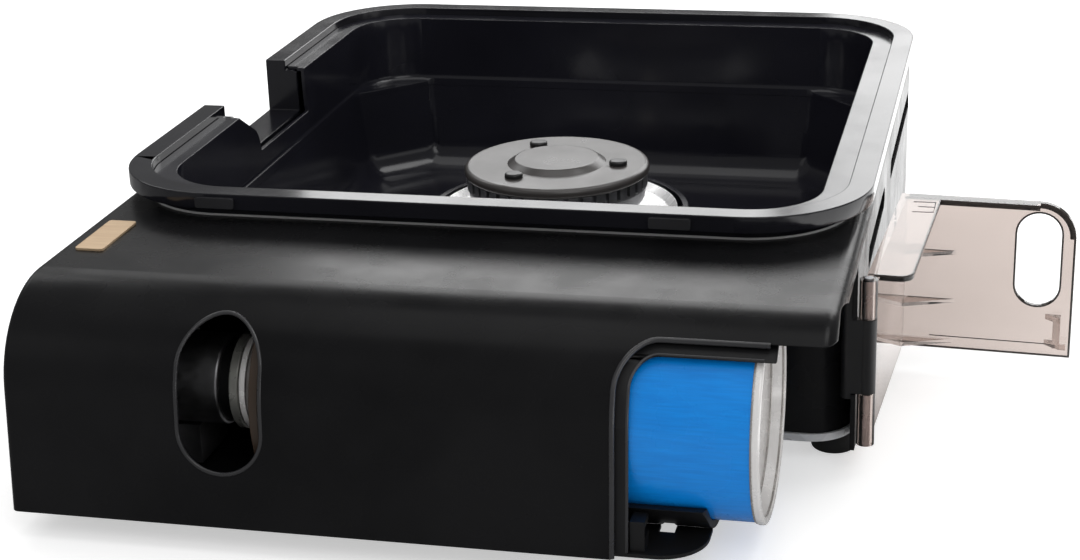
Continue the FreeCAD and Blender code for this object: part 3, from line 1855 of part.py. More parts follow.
node(
    "gas_can_stem",
    can_turned(
        "can_stem_body",
        [
            (STEM_BORE, CUP_FACE - v.can_stem_out),
            (v.stem_radius, CUP_FACE - v.can_stem_out, 0.5),
            (v.stem_radius, CUP_FACE + 5 + v.can_gap),
            (v.stem_radius + 1.6, CUP_FACE + 5 + v.can_gap),
            (v.stem_radius + 1.6, CUP_FACE + 8),
            (STEM_BORE, CUP_FACE + 8),
        ],
    ),
)

# Door: two knuckles, short wall, lip, leaf with its finger slot, ribs and latch hook

HALF = v.door_thick / 2
LEAF_CORNER = 13.0


def door_put(item, low):
    """Turn a door piece that was drawn about the hinge axis to the open rest position."""
    item.Placement = FreeCAD.Placement(
        FreeCAD.Vector(0, 0, 0), FreeCAD.Rotation(FreeCAD.Vector(0, 0, 1), 0)
    )
    for axis, length, origin in zip("xyz", (v.hinge_x, v.hinge_y, low), ORIGIN):
        bind(item, "Placement.Base." + axis, as_size(length) - origin)
    bind(item, "Placement.Rotation.Angle", -v.door_open_gap)
    return item


def door_plate(name, low, tall, *loops):
    body = doc.addObject("PartDesign::Body", name)
    sketch = sketch_on(body, name + "_plan", "XY_Plane", *loops)
    add_pad(body, sketch, tall)
    return door_put(body, low)


def door_front(name, start, depth, *loops):
    """A door piece drawn from the front, across the hinge axis, and pushed back along y."""
    body = doc.addObject("PartDesign::Body", name)
    sketch = body.newObject("Sketcher::SketchObject", name + "_face")
    sketch.AttachmentSupport = [(plane_of(body, "XZ_Plane"), "")]
    sketch.MapMode = "FlatFace"
    bind(sketch, "AttachmentOffset.Base.z", -as_size(start))
    for loop in loops:
        draw_loop(sketch, loop)
    add_pad(body, sketch, depth, reverse=True)
    return door_put(body, 0)


WALL_END = v.door_wall_long
leaf_back = WALL_END - v.door_thick
middle_low = v.middle_knuckle_low - v.knuckle_gap
middle_high = v.middle_knuckle_low + v.middle_knuckle_tall + v.knuckle_gap
CLEAR = v.knuckle_radius + 1.2
wall_plate = door_plate(
    "door_wall", v.door_low, v.door_tall, rectangle(-HALF, 0, HALF, WALL_END)
)
leaf_plate = door_front(
    "door_leaf",
    leaf_back,
    v.door_thick,
    [
        (-HALF, v.door_low),
        (v.door_leaf_long - HALF, v.door_low),
        (v.door_leaf_long - HALF, DOOR_TOP, LEAF_CORNER),
        (-HALF, DOOR_TOP),
    ],
)
FLANGE_DEEP = 3.0
leaf_flange = door_front(
    "door_flange",
    leaf_back - FLANGE_DEEP,
    FLANGE_DEEP,
    [
        (-HALF, DOOR_TOP - v.lip_thick),
        (v.door_leaf_long - HALF - LEAF_CORNER, DOOR_TOP - v.lip_thick),
        (v.door_leaf_long - HALF - LEAF_CORNER, DOOR_TOP),
        (-HALF, DOOR_TOP),
    ],
)
lip = door_plate(
    "door_lip",
    DOOR_TOP - v.lip_thick,
    v.lip_thick,
    [
        (-HALF, CLEAR + 0.4),
        (v.lip_wide - HALF, CLEAR + 0.4, 5),
        (v.lip_wide - HALF, WALL_END - HALF),
        (-HALF, WALL_END - HALF),
    ],
)
low_knuckle = door_plate(
    "door_knuckle_low", v.door_low, middle_low - v.door_low, ((0, 0), v.knuckle_radius)
)
high_knuckle = door_plate(
    "door_knuckle_high", middle_high, DOOR_TOP - middle_high, ((0, 0), v.knuckle_radius)
)
RIB_LOWS = [v.door_low + 2.5, v.door_low + 18.3, v.door_low + 37.1]
ribs = []
for number, low in enumerate(RIB_LOWS):
    ribs.append(
        door_plate(
            "door_rib%d" % number,
            low,
            1.4,
            [
                (HALF - 0.5, leaf_back - 8),
                (20.5, leaf_back + 0.5),
                (HALF - 0.5, leaf_back + 0.5),
            ],
        )
    )
SLOT_WIDE = 16.0
SLOT_TALL = 35.5
slot_left = v.door_leaf_long - 22.0
slot_low = v.door_low + 19.3
finger_slot = door_front(
    "door_slot",
    leaf_back - 5,
    12,
    rectangle(slot_left, slot_low, slot_left + SLOT_WIDE, slot_low + SLOT_TALL, SLOT_WIDE / 2 - 0.01),
)
knuckle_gap_tool = door_plate(
    "door_gap", middle_low, middle_high - middle_low, rectangle(-8, -8, 8, CLEAR)
)
door_bore = door_plate(
    "door_bore", -5, v.door_tall + 20, ((0, 0), v.pin_radius + v.fit_gap)
)
node(
    "door",
    cut(
        "door_cut",
        fuse(
            "door_whole", wall_plate, leaf_plate, leaf_flange, lip, low_knuckle, high_knuckle, *ribs
        ),
        finger_slot,
        knuckle_gap_tool,
        door_bore,
    ),
)
HOOK_LOW = v.door_low + 4.5
hook_stem = door_plate(
    "hook_stem",
    HOOK_LOW,
    12,
    rectangle(v.door_leaf_long - 7.5, leaf_back - 3.2, v.door_leaf_long - 4.9, leaf_back),
)
hook_ends = [
    door_plate(
        "hook_end%d" % i,
        HOOK_LOW + shift,
        2,
        [
            (v.door_leaf_long - 10.5, leaf_back),
            (v.door_leaf_long - 4.9, leaf_back - 4.2),
            (v.door_leaf_long - 4.9, leaf_back),
        ],
    )
    for i, shift in enumerate((0, 10))
]
hook_barb = door_plate(
    "hook_barb",
    HOOK_LOW,
    2,
    rectangle(v.door_leaf_long - 5.4, leaf_back - 4.2, v.door_leaf_long - 2.6, leaf_back - 3.0),
)
node("door_latch", fuse("latch_whole", hook_stem, hook_barb, *hook_ends))

node(
    "hinge_pin",
    rod("pin_rod", v.pin_radius, PIN_LONG, (v.hinge_x, v.hinge_y, PIN_LOW)),
)

# Check and write

doc.recompute()
failed = [
    item.Name
    for item in doc.Objects
    if any(word in item.State for word in ("Invalid", "Error"))
]
for name, item in nodes.items():
    if item.Shape.isNull() or not item.Shape.isValid():
        failed.append(name)
if failed:
    raise RuntimeError("failed: " + ", ".join(failed))
for name, item in nodes.items():
    item.Shape.exportStep("parts/%s.step" % name)
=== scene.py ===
import json
import math

import bpy
from mathutils import Matrix, Vector


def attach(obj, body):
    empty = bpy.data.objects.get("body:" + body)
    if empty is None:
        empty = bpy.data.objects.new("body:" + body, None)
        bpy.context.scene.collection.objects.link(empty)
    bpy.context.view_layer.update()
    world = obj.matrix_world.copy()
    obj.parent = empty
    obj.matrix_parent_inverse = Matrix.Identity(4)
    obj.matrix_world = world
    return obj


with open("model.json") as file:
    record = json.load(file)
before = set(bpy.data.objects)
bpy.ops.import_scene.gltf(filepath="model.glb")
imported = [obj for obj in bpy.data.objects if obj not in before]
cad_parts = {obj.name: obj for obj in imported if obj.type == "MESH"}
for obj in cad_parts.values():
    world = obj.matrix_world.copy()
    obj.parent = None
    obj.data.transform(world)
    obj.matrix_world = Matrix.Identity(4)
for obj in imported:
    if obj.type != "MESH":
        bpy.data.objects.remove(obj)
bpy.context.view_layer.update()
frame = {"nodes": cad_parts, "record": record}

MM = 0.001
# The shell's lower front left corner, in millimetres of the frame
SHELL_X, SHELL_Y, SHELL_Z = -160.3357, -188.0, 9.0


def at(x, y, z):
    """A point given from the shell's lower front left corner, in millimetres, as frame metres."""
    return Vector(((x + SHELL_X) * MM, (y + SHELL_Y) * MM, (z + SHELL_Z) * MM))


# Materials

EVEN = (1, 1, 1)
NOISE_ROUGHNESS = 0.55
RING_DISTORTION, RING_DETAIL, RING_DETAIL_SCALE = 0.3, 1.5, 4.0
BEVEL_SAMPLES = 3


class Look:
    """One procedural material: a Principled surface whose colour, roughness and bump come from noise."""

    def __init__(self, name, metal=0.0, level=0.5, coat=0.0, coat_rough=0.1, see_through=0.0, ior=1.5):
        self.material = bpy.data.materials.new(name)
        self.material.use_nodes = True
        self.tree = self.material.node_tree
        self.tree.nodes.clear()
        self.surface = self.add("ShaderNodeBsdfPrincipled")
        self.out = self.add("ShaderNodeOutputMaterial")
        self.link(self.surface.outputs[0], self.out.inputs["Surface"])
        self.surface.inputs["Metallic"].default_value = metal
        self.surface.inputs["Specular IOR Level"].default_value = level
        self.surface.inputs["Coat Weight"].default_value = coat
        self.surface.inputs["Coat Roughness"].default_value = coat_rough
        self.surface.inputs["Transmission Weight"].default_value = see_through
        self.surface.inputs["IOR"].default_value = ior
        self.place = self.add("ShaderNodeTexCoord").outputs["Object"]
        self.normal = None

    def add(self, kind, **values):
        node = self.tree.nodes.new(kind)
        for key, value in values.items():
            setattr(node, key, value)
        return node

    def link(self, start, end):
        self.tree.links.new(start, end)

    def stretched(self, stretch, origin=(0, 0, 0)):
        mapping = self.add("ShaderNodeMapping")
        mapping.inputs["Location"].default_value = origin
        mapping.inputs["Scale"].default_value = stretch
        self.link(self.place, mapping.inputs["Vector"])
        return mapping.outputs["Vector"]

    def noise(self, scale, detail=2.0, stretch=EVEN):
        node = self.add("ShaderNodeTexNoise")
        node.inputs["Scale"].default_value = scale
        node.inputs["Detail"].default_value = detail
        node.inputs["Roughness"].default_value = NOISE_ROUGHNESS
        self.link(self.stretched(stretch), node.inputs["Vector"])
        return node.outputs["Fac"]

    def cells(self, scale):
        node = self.add("ShaderNodeTexVoronoi")
        node.inputs["Scale"].default_value = scale
        self.link(self.stretched(EVEN), node.inputs["Vector"])
        return node

    def rings(self, centre, axis, scale):
        """Fine circular marks about an axis through centre."""
        stretch = [0.0 if letter == axis else 1.0 for letter in "XYZ"]
        shift = [-c * s for c, s in zip(centre, stretch)]
        node = self.add("ShaderNodeTexWave", wave_type="RINGS", rings_direction="SPHERICAL")
        node.inputs["Scale"].default_value = scale
        node.inputs["Distortion"].default_value = RING_DISTORTION
        node.inputs["Detail"].default_value = RING_DETAIL
        node.inputs["Detail Scale"].default_value = RING_DETAIL_SCALE
        self.link(self.stretched(stretch, shift), node.inputs["Vector"])
        return node.outputs["Fac"]

    def ranged(self, value, low, high, start=0.3, end=0.7):
        node = self.add("ShaderNodeMapRange")
        node.inputs["From Min"].default_value = start
        node.inputs["From Max"].default_value = end
        node.inputs["To Min"].default_value = low
        node.inputs["To Max"].default_value = high
        self.link(value, node.inputs["Value"])
        return node.outputs["Result"]

    def ramp(self, value, *stops):
        """A colour for this value, from stops of (place, colour)."""
        node = self.add("ShaderNodeValToRGB")
        for element, (spot, colour) in zip(node.color_ramp.elements, stops):
            element.position = spot
            element.color = (*colour, 1.0)
        self.link(value, node.inputs["Fac"])
        return node.outputs["Color"]

    def colours(self, value, *stops):
        self.link(self.ramp(value, *stops), self.surface.inputs["Base Color"])

    def rough(self, value, low, high):
        self.link(self.ranged(value, low, high), self.surface.inputs["Roughness"])

    def bump(self, value, strength, depth):
        node = self.add("ShaderNodeBump")
        node.inputs["Strength"].default_value = strength
        node.inputs["Distance"].default_value = depth
        self.link(value, node.inputs["Height"])
        if self.normal:
            self.link(self.normal, node.inputs["Normal"])
        self.normal = node.outputs["Normal"]
        self.link(self.normal, self.surface.inputs["Normal"])

    def soft_edges(self, radius):
        node = self.add("ShaderNodeBevel", samples=BEVEL_SAMPLES)
        node.inputs["Radius"].default_value = radius
        self.normal = node.outputs["Normal"]
        self.link(self.normal, self.surface.inputs["Normal"])


def satin(name, dark, light, rough, grain=1400.0, depth=0.00002, level=0.35, edge=0.0004):
    """Paint, rubber or moulded plastic with a fine grain of this depth, in metres."""
    look = Look(name, level=level)
    if edge:
        look.soft_edges(edge)
    look.colours(look.noise(scale=18.0, detail=3.0), (0.35, dark), (0.65, light))
    look.rough(look.noise(scale=55.0, detail=3.0), rough - 0.04, rough + 0.05)
    look.bump(look.noise(grain), strength=0.25, depth=depth)
    return look.material


def gloss(name, dark, light, rough, level=0.5, edge=0.0004):
    """Enamel or smooth plastic, with a faint ripple and a finer grain."""
    look = Look(name, level=level)
    if edge:
        look.soft_edges(edge)
    look.colours(look.noise(scale=14.0, detail=3.0), (0.35, dark), (0.65, light))
    look.rough(look.noise(scale=40.0, detail=4.0), rough - 0.03, rough + 0.05)
    look.bump(look.noise(scale=70.0, detail=1.0), strength=0.12, depth=0.0002)
    look.bump(look.noise(scale=2200.0, detail=1.0), strength=0.06, depth=0.00001)
    return look.material


def metal(name, dark, light, rough, stretch=EVEN, grain=600.0, ring=None, share=1.0):
    """Metal, with turning marks where ring gives their centre, axis and scale."""
    look = Look(name, metal=share)
    look.soft_edges(0.0003)
    look.colours(look.noise(grain * 0.2, 4.0, stretch), (0.3, dark), (0.7, light))
    look.rough(look.noise(grain * 0.35, 4.0, stretch), rough - 0.06, rough + 0.08)
    if ring:
        look.bump(look.rings(*ring), strength=0.15, depth=0.00004)
    look.bump(look.noise(grain, 3.0, stretch), strength=0.12, depth=0.00003)
    return look.material


def spangled(name):
    """Hot-dipped zinc, with its faint crystal pattern."""
    look = Look(name, metal=0.4)
    look.soft_edges(0.0003)
    cells = look.cells(140.0)
    look.colours(cells.outputs["Color"], (0.1, (0.66, 0.67, 0.69)), (0.9, (0.8, 0.81, 0.83)))
    look.rough(cells.outputs["Distance"], 0.27, 0.4)
    look.bump(look.noise(scale=500.0), strength=0.1, depth=0.00003)
    return look.material


def printed(name):
    """Printed tin: a smooth blue with a faint roller grain, under clear lacquer."""
    look = Look(name, level=0.4, coat=0.3, coat_rough=0.08)
    grain = look.noise(90.0, 4.0, (1.0, 14.0, 14.0))
    look.colours(grain, (0.3, (0.0006, 0.24, 0.8)), (0.7, (0.0015, 0.305, 0.93)))
    look.rough(look.noise(scale=60.0, detail=3.0), 0.24, 0.34)
    look.bump(look.noise(scale=900.0), strength=0.06, depth=0.00001)
    return look.material


def smoked(name):
    """Clear smoke-brown plastic with faint flow lines from moulding."""
    look = Look(name, see_through=1.0, ior=1.46)
    flow = look.noise(9.0, 3.0, (1.0, 1.0, 3.0))
    look.colours(flow, (0.3, (0.53, 0.455, 0.42)), (0.7, (0.57, 0.49, 0.455)))
    look.rough(look.noise(scale=50.0), 0.02, 0.06)
    look.bump(look.noise(scale=45.0, detail=1.0), strength=0.04, depth=0.0002)
    clear = look.add("ShaderNodeBsdfTransparent")
    clear.inputs["Color"].default_value = (0.75, 0.7, 0.67, 1.0)
    rays = look.add("ShaderNodeLightPath")
    either = look.add("ShaderNodeMixShader")
    look.link(rays.outputs["Is Shadow Ray"], either.inputs[0])
    look.link(look.surface.outputs[0], either.inputs[1])
    look.link(clear.outputs[0], either.inputs[2])
    look.link(either.outputs[0], look.out.inputs["Surface"])
    return look.material


# A point on the line that the can, the regulator and the knob share, in frame metres
KNOB_AXIS = (-0.160336, -0.1474, 0.0427)
CAN_MARKS, MAGNET_MARKS, TIN_MARKS = ((KNOB_AXIS, "X", scale) for scale in (260.0, 400.0, 300.0))

MATERIALS = {
    "black_shell": satin(
        "black_shell", (0.0065, 0.0065, 0.0072), (0.0105, 0.0105, 0.0113), 0.26, depth=0.00001, level=0.14
    ),
    "black_gloss": gloss("black_gloss", (0.007, 0.007, 0.0095), (0.011, 0.011, 0.015), 0.13),
    "black_plastic": satin(
        "black_plastic", (0.008, 0.008, 0.009), (0.014, 0.014, 0.015), 0.42, grain=900.0, depth=0.00004
    ),
    "clear_smoke": smoked("clear_smoke"),
    "galvanised": spangled("galvanised"),
    "can_blue": printed("can_blue"),
    "can_steel": metal(
        "can_steel", (0.92, 0.895, 0.88), (0.98, 0.965, 0.955), 0.24, ring=CAN_MARKS, share=0.15
    ),
    # Gold lacquer on the can's dome, made dark as painted shade inside the bay
    "can_lacquer": satin(
        "can_lacquer", (0.05, 0.034, 0.024), (0.08, 0.055, 0.04), 0.3, grain=900.0, depth=0.00001
    ),
    "dark_cast": satin(
        "dark_cast", (0.045, 0.041, 0.039), (0.075, 0.069, 0.066), 0.31,
        grain=700.0, depth=0.00005, level=0.75,
    ),
    "burner_metal": metal("burner_metal", (0.3, 0.3, 0.31), (0.5, 0.5, 0.52), 0.42, grain=900.0),
    "brass": metal("brass", (0.55, 0.38, 0.16), (0.74, 0.55, 0.27), 0.28),
    "gold_foil": metal("gold_foil", (0.66, 0.46, 0.28), (0.8, 0.6, 0.39), 0.34, (1, 30, 1), 220.0, share=0.4),
    "zinc_cast": metal("zinc_cast", (0.38, 0.38, 0.39), (0.55, 0.55, 0.57), 0.38, grain=800.0),
    "magnet": metal("magnet", (0.28, 0.28, 0.26), (0.4, 0.4, 0.37), 0.3, ring=MAGNET_MARKS, share=0.5),
    "screw_steel": metal("screw_steel", (0.42, 0.42, 0.44), (0.6, 0.6, 0.62), 0.3, grain=900.0),
    "black_rubber": satin(
        "black_rubber", (0.008, 0.008, 0.008), (0.015, 0.015, 0.015), 0.68, grain=1100.0, depth=0.00006
    ),
    "ceramic": gloss("ceramic", (0.74, 0.71, 0.64), (0.82, 0.79, 0.72), 0.2),
    "copper": metal("copper", (0.58, 0.3, 0.16), (0.74, 0.44, 0.27), 0.3, (20, 1, 20), 300.0),
    "lead_sleeve": satin(
        "lead_sleeve", (0.2, 0.2, 0.2), (0.3, 0.3, 0.3), 0.6, grain=1300.0, depth=0.00006, edge=0
    ),
    "light_steel": gloss("light_steel", (0.86, 0.85, 0.84), (0.93, 0.92, 0.91), 0.22),
}

# Looks of the beads
# Painted sheen: the rolled edges are made lighter than the black shell to show their highlight
ROLLED_EDGE_SHEEN = gloss("rolled_edge_painted_sheen", (0.018, 0.018, 0.02), (0.03, 0.03, 0.033), 0.26, level=0.8, edge=0)
# Painted highlight: a pale grey look for the lit edge of the rim frame's foot
FOOT_HIGHLIGHT = gloss("foot_painted_highlight", (0.5, 0.5, 0.5), (0.62, 0.62, 0.62), 0.22, level=1.0, edge=0)
# Bare tin of the can's seam rings, darkened as painted shade in the seam and chime
TIN_WITH_SEAM_SHADE = metal("tin_with_painted_seam_shade", (0.42, 0.4, 0.38), (0.58, 0.56, 0.54), 0.24, ring=TIN_MARKS, share=0.6)
# Painted shade: dark beads for the clear door's edges, which look dark
DOOR_EDGE_SHADE = gloss("door_edge_painted_shade", (0.018, 0.014, 0.012), (0.03, 0.024, 0.021), 0.16, edge=0)

# Looks of single nodes that differ from the others of their slot
OWN_LOOKS = {
    "burner_cap": satin(
        "cap_enamel", (0.05, 0.045, 0.043), (0.07, 0.064, 0.061), 0.31,
        grain=60.0, depth=0.00001, level=0.75, edge=0,
    ),
    # Painted shade: the magnet holder is made darker than the black plastic for the shade inside the shell
    "magnet_holder": satin("holder_painted_shade", (0.003, 0.003, 0.0035), (0.006, 0.006, 0.007), 0.5, level=0.2),
    "drip_well": gloss("well_enamel", (0.009, 0.009, 0.013), (0.014, 0.014, 0.02), 0.15),
    "reflector": metal("reflector_sheet", (0.93, 0.93, 0.93), (0.98, 0.98, 0.98), 0.26, share=0.25),
    "cap_rivets": gloss("rivet_black", (0.012, 0.012, 0.012), (0.02, 0.02, 0.02), 0.3, edge=0),
    "rim_clips": gloss("clip_black", (0.02, 0.02, 0.022), (0.032, 0.032, 0.035), 0.2),
}

slot_of_node = {row["node"]: row["material_slot"] for row in frame["record"]["subparts"]}

for node_name, item in frame["nodes"].items():
    look = OWN_LOOKS.get(node_name) or MATERIALS[slot_of_node[node_name]]
    if not item.material_slots:
        item.data.materials.append(look)
    for material_slot in item.material_slots:
        material_slot.material = look

# Rounded edges of the pressed and moulded pieces, in millimetres

EDGE_ROUNDS = {"rim_frame": 0.8, "drip_well": 2.0, "rim_clips": 0.5, "bay_frame": 0.6, "burner_cap": 0.6}
WELD_GAP = 0.02
ROUND_ANGLE = 34.0
ROUND_SEGMENTS = 3

for node_name, width in EDGE_ROUNDS.items():
    item = frame["nodes"][node_name]
    weld = item.modifiers.new("weld", "WELD")
    weld.merge_threshold = WELD_GAP * MM
    bevel = item.modifiers.new("round", "BEVEL")
    bevel.width = width * MM
    bevel.segments = ROUND_SEGMENTS
    bevel.limit_method = "ANGLE"
    bevel.angle_limit = math.radians(ROUND_ANGLE)
    bevel.use_clamp_overlap = True
    bevel.harden_normals = True

# Tools for the beads: all lengths in millimetres, from the shell's corner unless said otherwise

# The front leans back over the shell's height, and from FRONT_STRAIGHT on it rounds over to the deck
FRONT_LEAN, SHELL_HEIGHT, FRONT_STRAIGHT = 6.5, 71.0, 41.0
FRONT_MIDDLE_Y, FRONT_MIDDLE_Z, FRONT_RADIUS = 36.62, 38.0, 33.0


def front_point(x, z, out=0.0):
    """A point at this height on the shell's sloped and rounded front, grown by out."""
    if z <= FRONT_STRAIGHT:
        return at(x, z * FRONT_LEAN / SHELL_HEIGHT - out, z)
    return at(x, FRONT_MIDDLE_Y - math.sqrt((FRONT_RADIUS + out) ** 2 - (z - FRONT_MIDDLE_Z) ** 2), z)


def arc(middle_x, middle_z, radius, start, end, steps):
    """Points (x, z) round an arc, with its angles in degrees."""
    marks = []
    for i in range(steps + 1):
        turn = math.radians(start + (end - start) * i / steps)
        marks.append((middle_x + radius * math.cos(turn), middle_z + radius * math.sin(turn)))
    return marks


def spaced(start, end, steps, marks):
    """Values on the even steps from start to end, at those steps that marks names."""
    return [start + (end - start) * i / steps for i in marks]


def bead(name, points, radius, body, look, closed=False):
    """A round bead of this radius along points."""
    curve = bpy.data.curves.new(name, "CURVE")
    curve.dimensions = "3D"
    run = curve.splines.new("POLY")
    run.points.add(len(points) - 1)
    for mark, point in zip(run.points, points):
        mark.co = (*point, 1.0)
    run.use_cyclic_u = closed
    curve.bevel_depth = radius * MM
    curve.bevel_resolution = 4
    curve.use_fill_caps = not closed
    curve.materials.append(look)
    item = bpy.data.objects.new(name, curve)
    bpy.context.scene.collection.objects.link(item)
    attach(item, body)


# Beads along the window and the can bay, lighter than the shell as painted sheen

WINDOW_X, WINDOW_R = 72.9, 13.9
WINDOW_LOW, WINDOW_HIGH = 17.8 + WINDOW_R, 65.6 - WINDOW_R
WINDOW_TURNS, WINDOW_STEPS = 28, 12

inner_steps = range(1, WINDOW_STEPS)
window_line = arc(WINDOW_X, WINDOW_LOW, WINDOW_R, 180, 360, WINDOW_TURNS)
window_line += [(WINDOW_X + WINDOW_R, z) for z in spaced(WINDOW_LOW, WINDOW_HIGH, WINDOW_STEPS, inner_steps)]
window_line += arc(WINDOW_X, WINDOW_HIGH, WINDOW_R, 0, 180, WINDOW_TURNS)
window_line += [(WINDOW_X - WINDOW_R, z) for z in spaced(WINDOW_HIGH, WINDOW_LOW, WINDOW_STEPS, inner_steps)]
window_points = [front_point(x, z, out=-0.35) for x, z in window_line]
bead("window_bead", window_points, 0.7, "base", ROLLED_EDGE_SHEEN, closed=True)

BAY_LEFT, BAY_TOP, BAY_CORNER = 197.3, 65.5, 13.0
BAY_SIDE_STEPS, BAY_CORNER_STEPS, BAY_TOP_STEPS = 10, 14, 12


def bay_line(inset, start_z, end_x, out):
    """Points along the bay's edge in the front, drawn in by inset."""
    left, top, corner = BAY_LEFT + inset, BAY_TOP - inset, BAY_CORNER - inset
    marks = [(left, z) for z in spaced(start_z, top - corner, BAY_SIDE_STEPS, range(BAY_SIDE_STEPS))]
    marks += arc(left + corner, top - corner, corner, 180, 90, BAY_CORNER_STEPS)
    marks += [(x, top) for x in spaced(left + corner, end_x, BAY_TOP_STEPS, range(1, BAY_TOP_STEPS + 1))]
    return [front_point(x, z, out) for x, z in marks]


edge_line = bay_line(inset=0.3, start_z=0.4, end_x=243.0, out=-0.3)
frame_line = bay_line(inset=4.4, start_z=1.6, end_x=241.5, out=-2.5)
bead("bay_edge_bead", edge_line, 0.9, "base", ROLLED_EDGE_SHEEN)
bead("bay_frame_bead", frame_line, 0.65, "base", ROLLED_EDGE_SHEEN)

# Painted highlight: a pale grey bead for the lit edge where the rim frame's foot meets the deck, open on the
# left where the spout is

FOOT_LEFT, FOOT_RIGHT, FOOT_FRONT, FOOT_BACK = 4.6, 256.8, 94.4, 366.6
FOOT_ROUND, FOOT_UP, FOOT_STEPS = 34.7, 71.3, 16
SPOUT_FRONT, SPOUT_BACK = 160.0, 305.0


def foot_corner(x, y, start, end):
    return [at(px, py, FOOT_UP) for px, py in arc(x, y, FOOT_ROUND, start, end, FOOT_STEPS)]


near, far = FOOT_FRONT + FOOT_ROUND, FOOT_BACK - FOOT_ROUND
foot_points = [at(FOOT_LEFT, SPOUT_FRONT, FOOT_UP)]
foot_points += foot_corner(FOOT_LEFT + FOOT_ROUND, near, 180, 270)
foot_points += foot_corner(FOOT_RIGHT - FOOT_ROUND, near, 270, 360)
foot_points += foot_corner(FOOT_RIGHT - FOOT_ROUND, far, 0, 90)
foot_points += foot_corner(FOOT_LEFT + FOOT_ROUND, far, 90, 180)
foot_points.append(at(FOOT_LEFT, SPOUT_BACK, FOOT_UP))
bead("rim_foot_bead", foot_points, 0.5, "base", FOOT_HIGHLIGHT)

# Rings on the gas can's seam and end: bare tin, darker than the can's steel as painted shade in its seam and
# chime

RING_STEPS = 72


def can_ring(name, along, radius, thick):
    """A ring about the can's axis, with along and radius in the frame's millimetres."""
    points = []
    for i in range(RING_STEPS):
        turn = math.tau * i / RING_STEPS
        side, up = math.cos(turn) * radius * MM, math.sin(turn) * radius * MM
        points.append(Vector((along * MM, KNOB_AXIS[1] + side, KNOB_AXIS[2] + up)))
    bead(name, points, thick, "gas_can", TIN_WITH_SEAM_SHADE, closed=True)


can_ring("label_end_ring", along=78.35, radius=34.1, thick=0.35)
can_ring("chime_inner_ring", along=80.2, radius=32.1, thick=0.4)
can_ring("dish_ring", along=76.7, radius=29.2, thick=0.35)

# Painted shade: dark beads along the edges of the clear door, which look dark

DOOR_TURN = math.radians(3.5)
HINGE_X, HINGE_Y = 265.8, 92.5
LEAF_END, LEAF_TOP, LEAF_MIDDLE, LEAF_ROUND, LEAF_FACE = 61.4, 60.2, 90.4, 13.0, 89.3
FLANGE_BACK, FLANGE_UP = 87.3, 59.2
SLOT_ALONG, SLOT_HIGH, SLOT_LOW, SLOT_RADIUS = 48.5, 48.4, 28.9, 8.2


def door_point(along, back, z):
    """A point on the door: along its leaf from the hinge, back along its wall, and height."""
    return at(
        HINGE_X + along * math.cos(DOOR_TURN) + back * math.sin(DOOR_TURN),
        HINGE_Y - along * math.sin(DOOR_TURN) + back * math.cos(DOOR_TURN),
        z,
    )


def door_shade_bead(name, marks, radius, closed=False):
    """A dark bead of painted shade on the door along marks of (along, back, z)."""
    bead(name, [door_point(*mark) for mark in marks], radius, "door", DOOR_EDGE_SHADE, closed)


def leaf_line(inset, start, back):
    """The leaf's top edge and its outer corner, drawn in by inset."""
    corner = arc(LEAF_END - LEAF_ROUND, LEAF_TOP - LEAF_ROUND, LEAF_ROUND - inset, 90, 0, 12)
    return [(start, back, LEAF_TOP - inset)] + [(x, back, z) for x, z in corner]


flange_line = [(x, FLANGE_BACK, FLANGE_UP) for x in (0.5, 24.0, 47.4)]
end_line = [(LEAF_END - 0.4, LEAF_FACE + 0.3, z) for z in (47.2, 30.0, 15.0, 2.0)]
low_line = [(x, LEAF_FACE + 0.3, 2.0) for x in (0.5, 20.0, 40.0, 61.0)]
moulded_line = [(x, LEAF_FACE + 0.08, 6.4) for x in (10.6, 30.0, 56.8)]
slot_round = arc(SLOT_ALONG, SLOT_HIGH, SLOT_RADIUS, 0, 180, 16)
slot_round += arc(SLOT_ALONG, SLOT_LOW, SLOT_RADIUS, 180, 360, 16)
slot_line = [(x, LEAF_FACE + 0.15, z) for x, z in slot_round]
lip_plan = [(-0.9, 4.9)] + arc(8.3, 9.7, 4.9, 270, 360, 10) + [(13.2, back) for back in (30.0, 60.0, 88.0)]
lip_line = [(x, back, LEAF_TOP - 0.4) for x, back in lip_plan]
comb_plan = [(4.2, 82.2), (12.0, 82.8), (12.2, 77.2), (6.6, 77.0), (12.2, 77.2), (12.3, 71.6), (5.2, 70.8)]
comb_line = [(x, back, LEAF_TOP - 0.1) for x, back in comb_plan]

door_shade_bead("leaf_top_bead", leaf_line(inset=1.12, start=14.2, back=LEAF_MIDDLE), 1.12)
door_shade_bead("leaf_flange_bead", flange_line, 1.03)
door_shade_bead("leaf_end_bead", end_line, 0.42)
door_shade_bead("leaf_low_bead", low_line, 0.38)
door_shade_bead("leaf_line_bead", moulded_line, 0.2)
door_shade_bead("slot_bead", slot_line, 0.36, closed=True)
door_shade_bead("lip_bead", lip_line, 0.42)
door_shade_bead("lip_comb_bead", comb_line, 0.26)

# Floor: white to the eye and in clear plastic, and from dark to pale where surfaces mirror it

scene = bpy.context.scene


def staged(item):
    scene.collection.objects.link(item)


FLOOR_REACH = 6.0
FLOOR_GLOW, MIRRORED_GLOW, MIRRORED_ROUGHNESS = 0.5, 0.9, 0.8
MIRRORED_DARK, MIRRORED_PALE = (0.14, 0.14, 0.14), (1.0, 1.0, 1.0)
# The mirrored tone follows x plus this share of y, between these two places in metres
Y_SHARE, DARK_UNTIL, PALE_FROM = 0.6, 0.02, 0.2

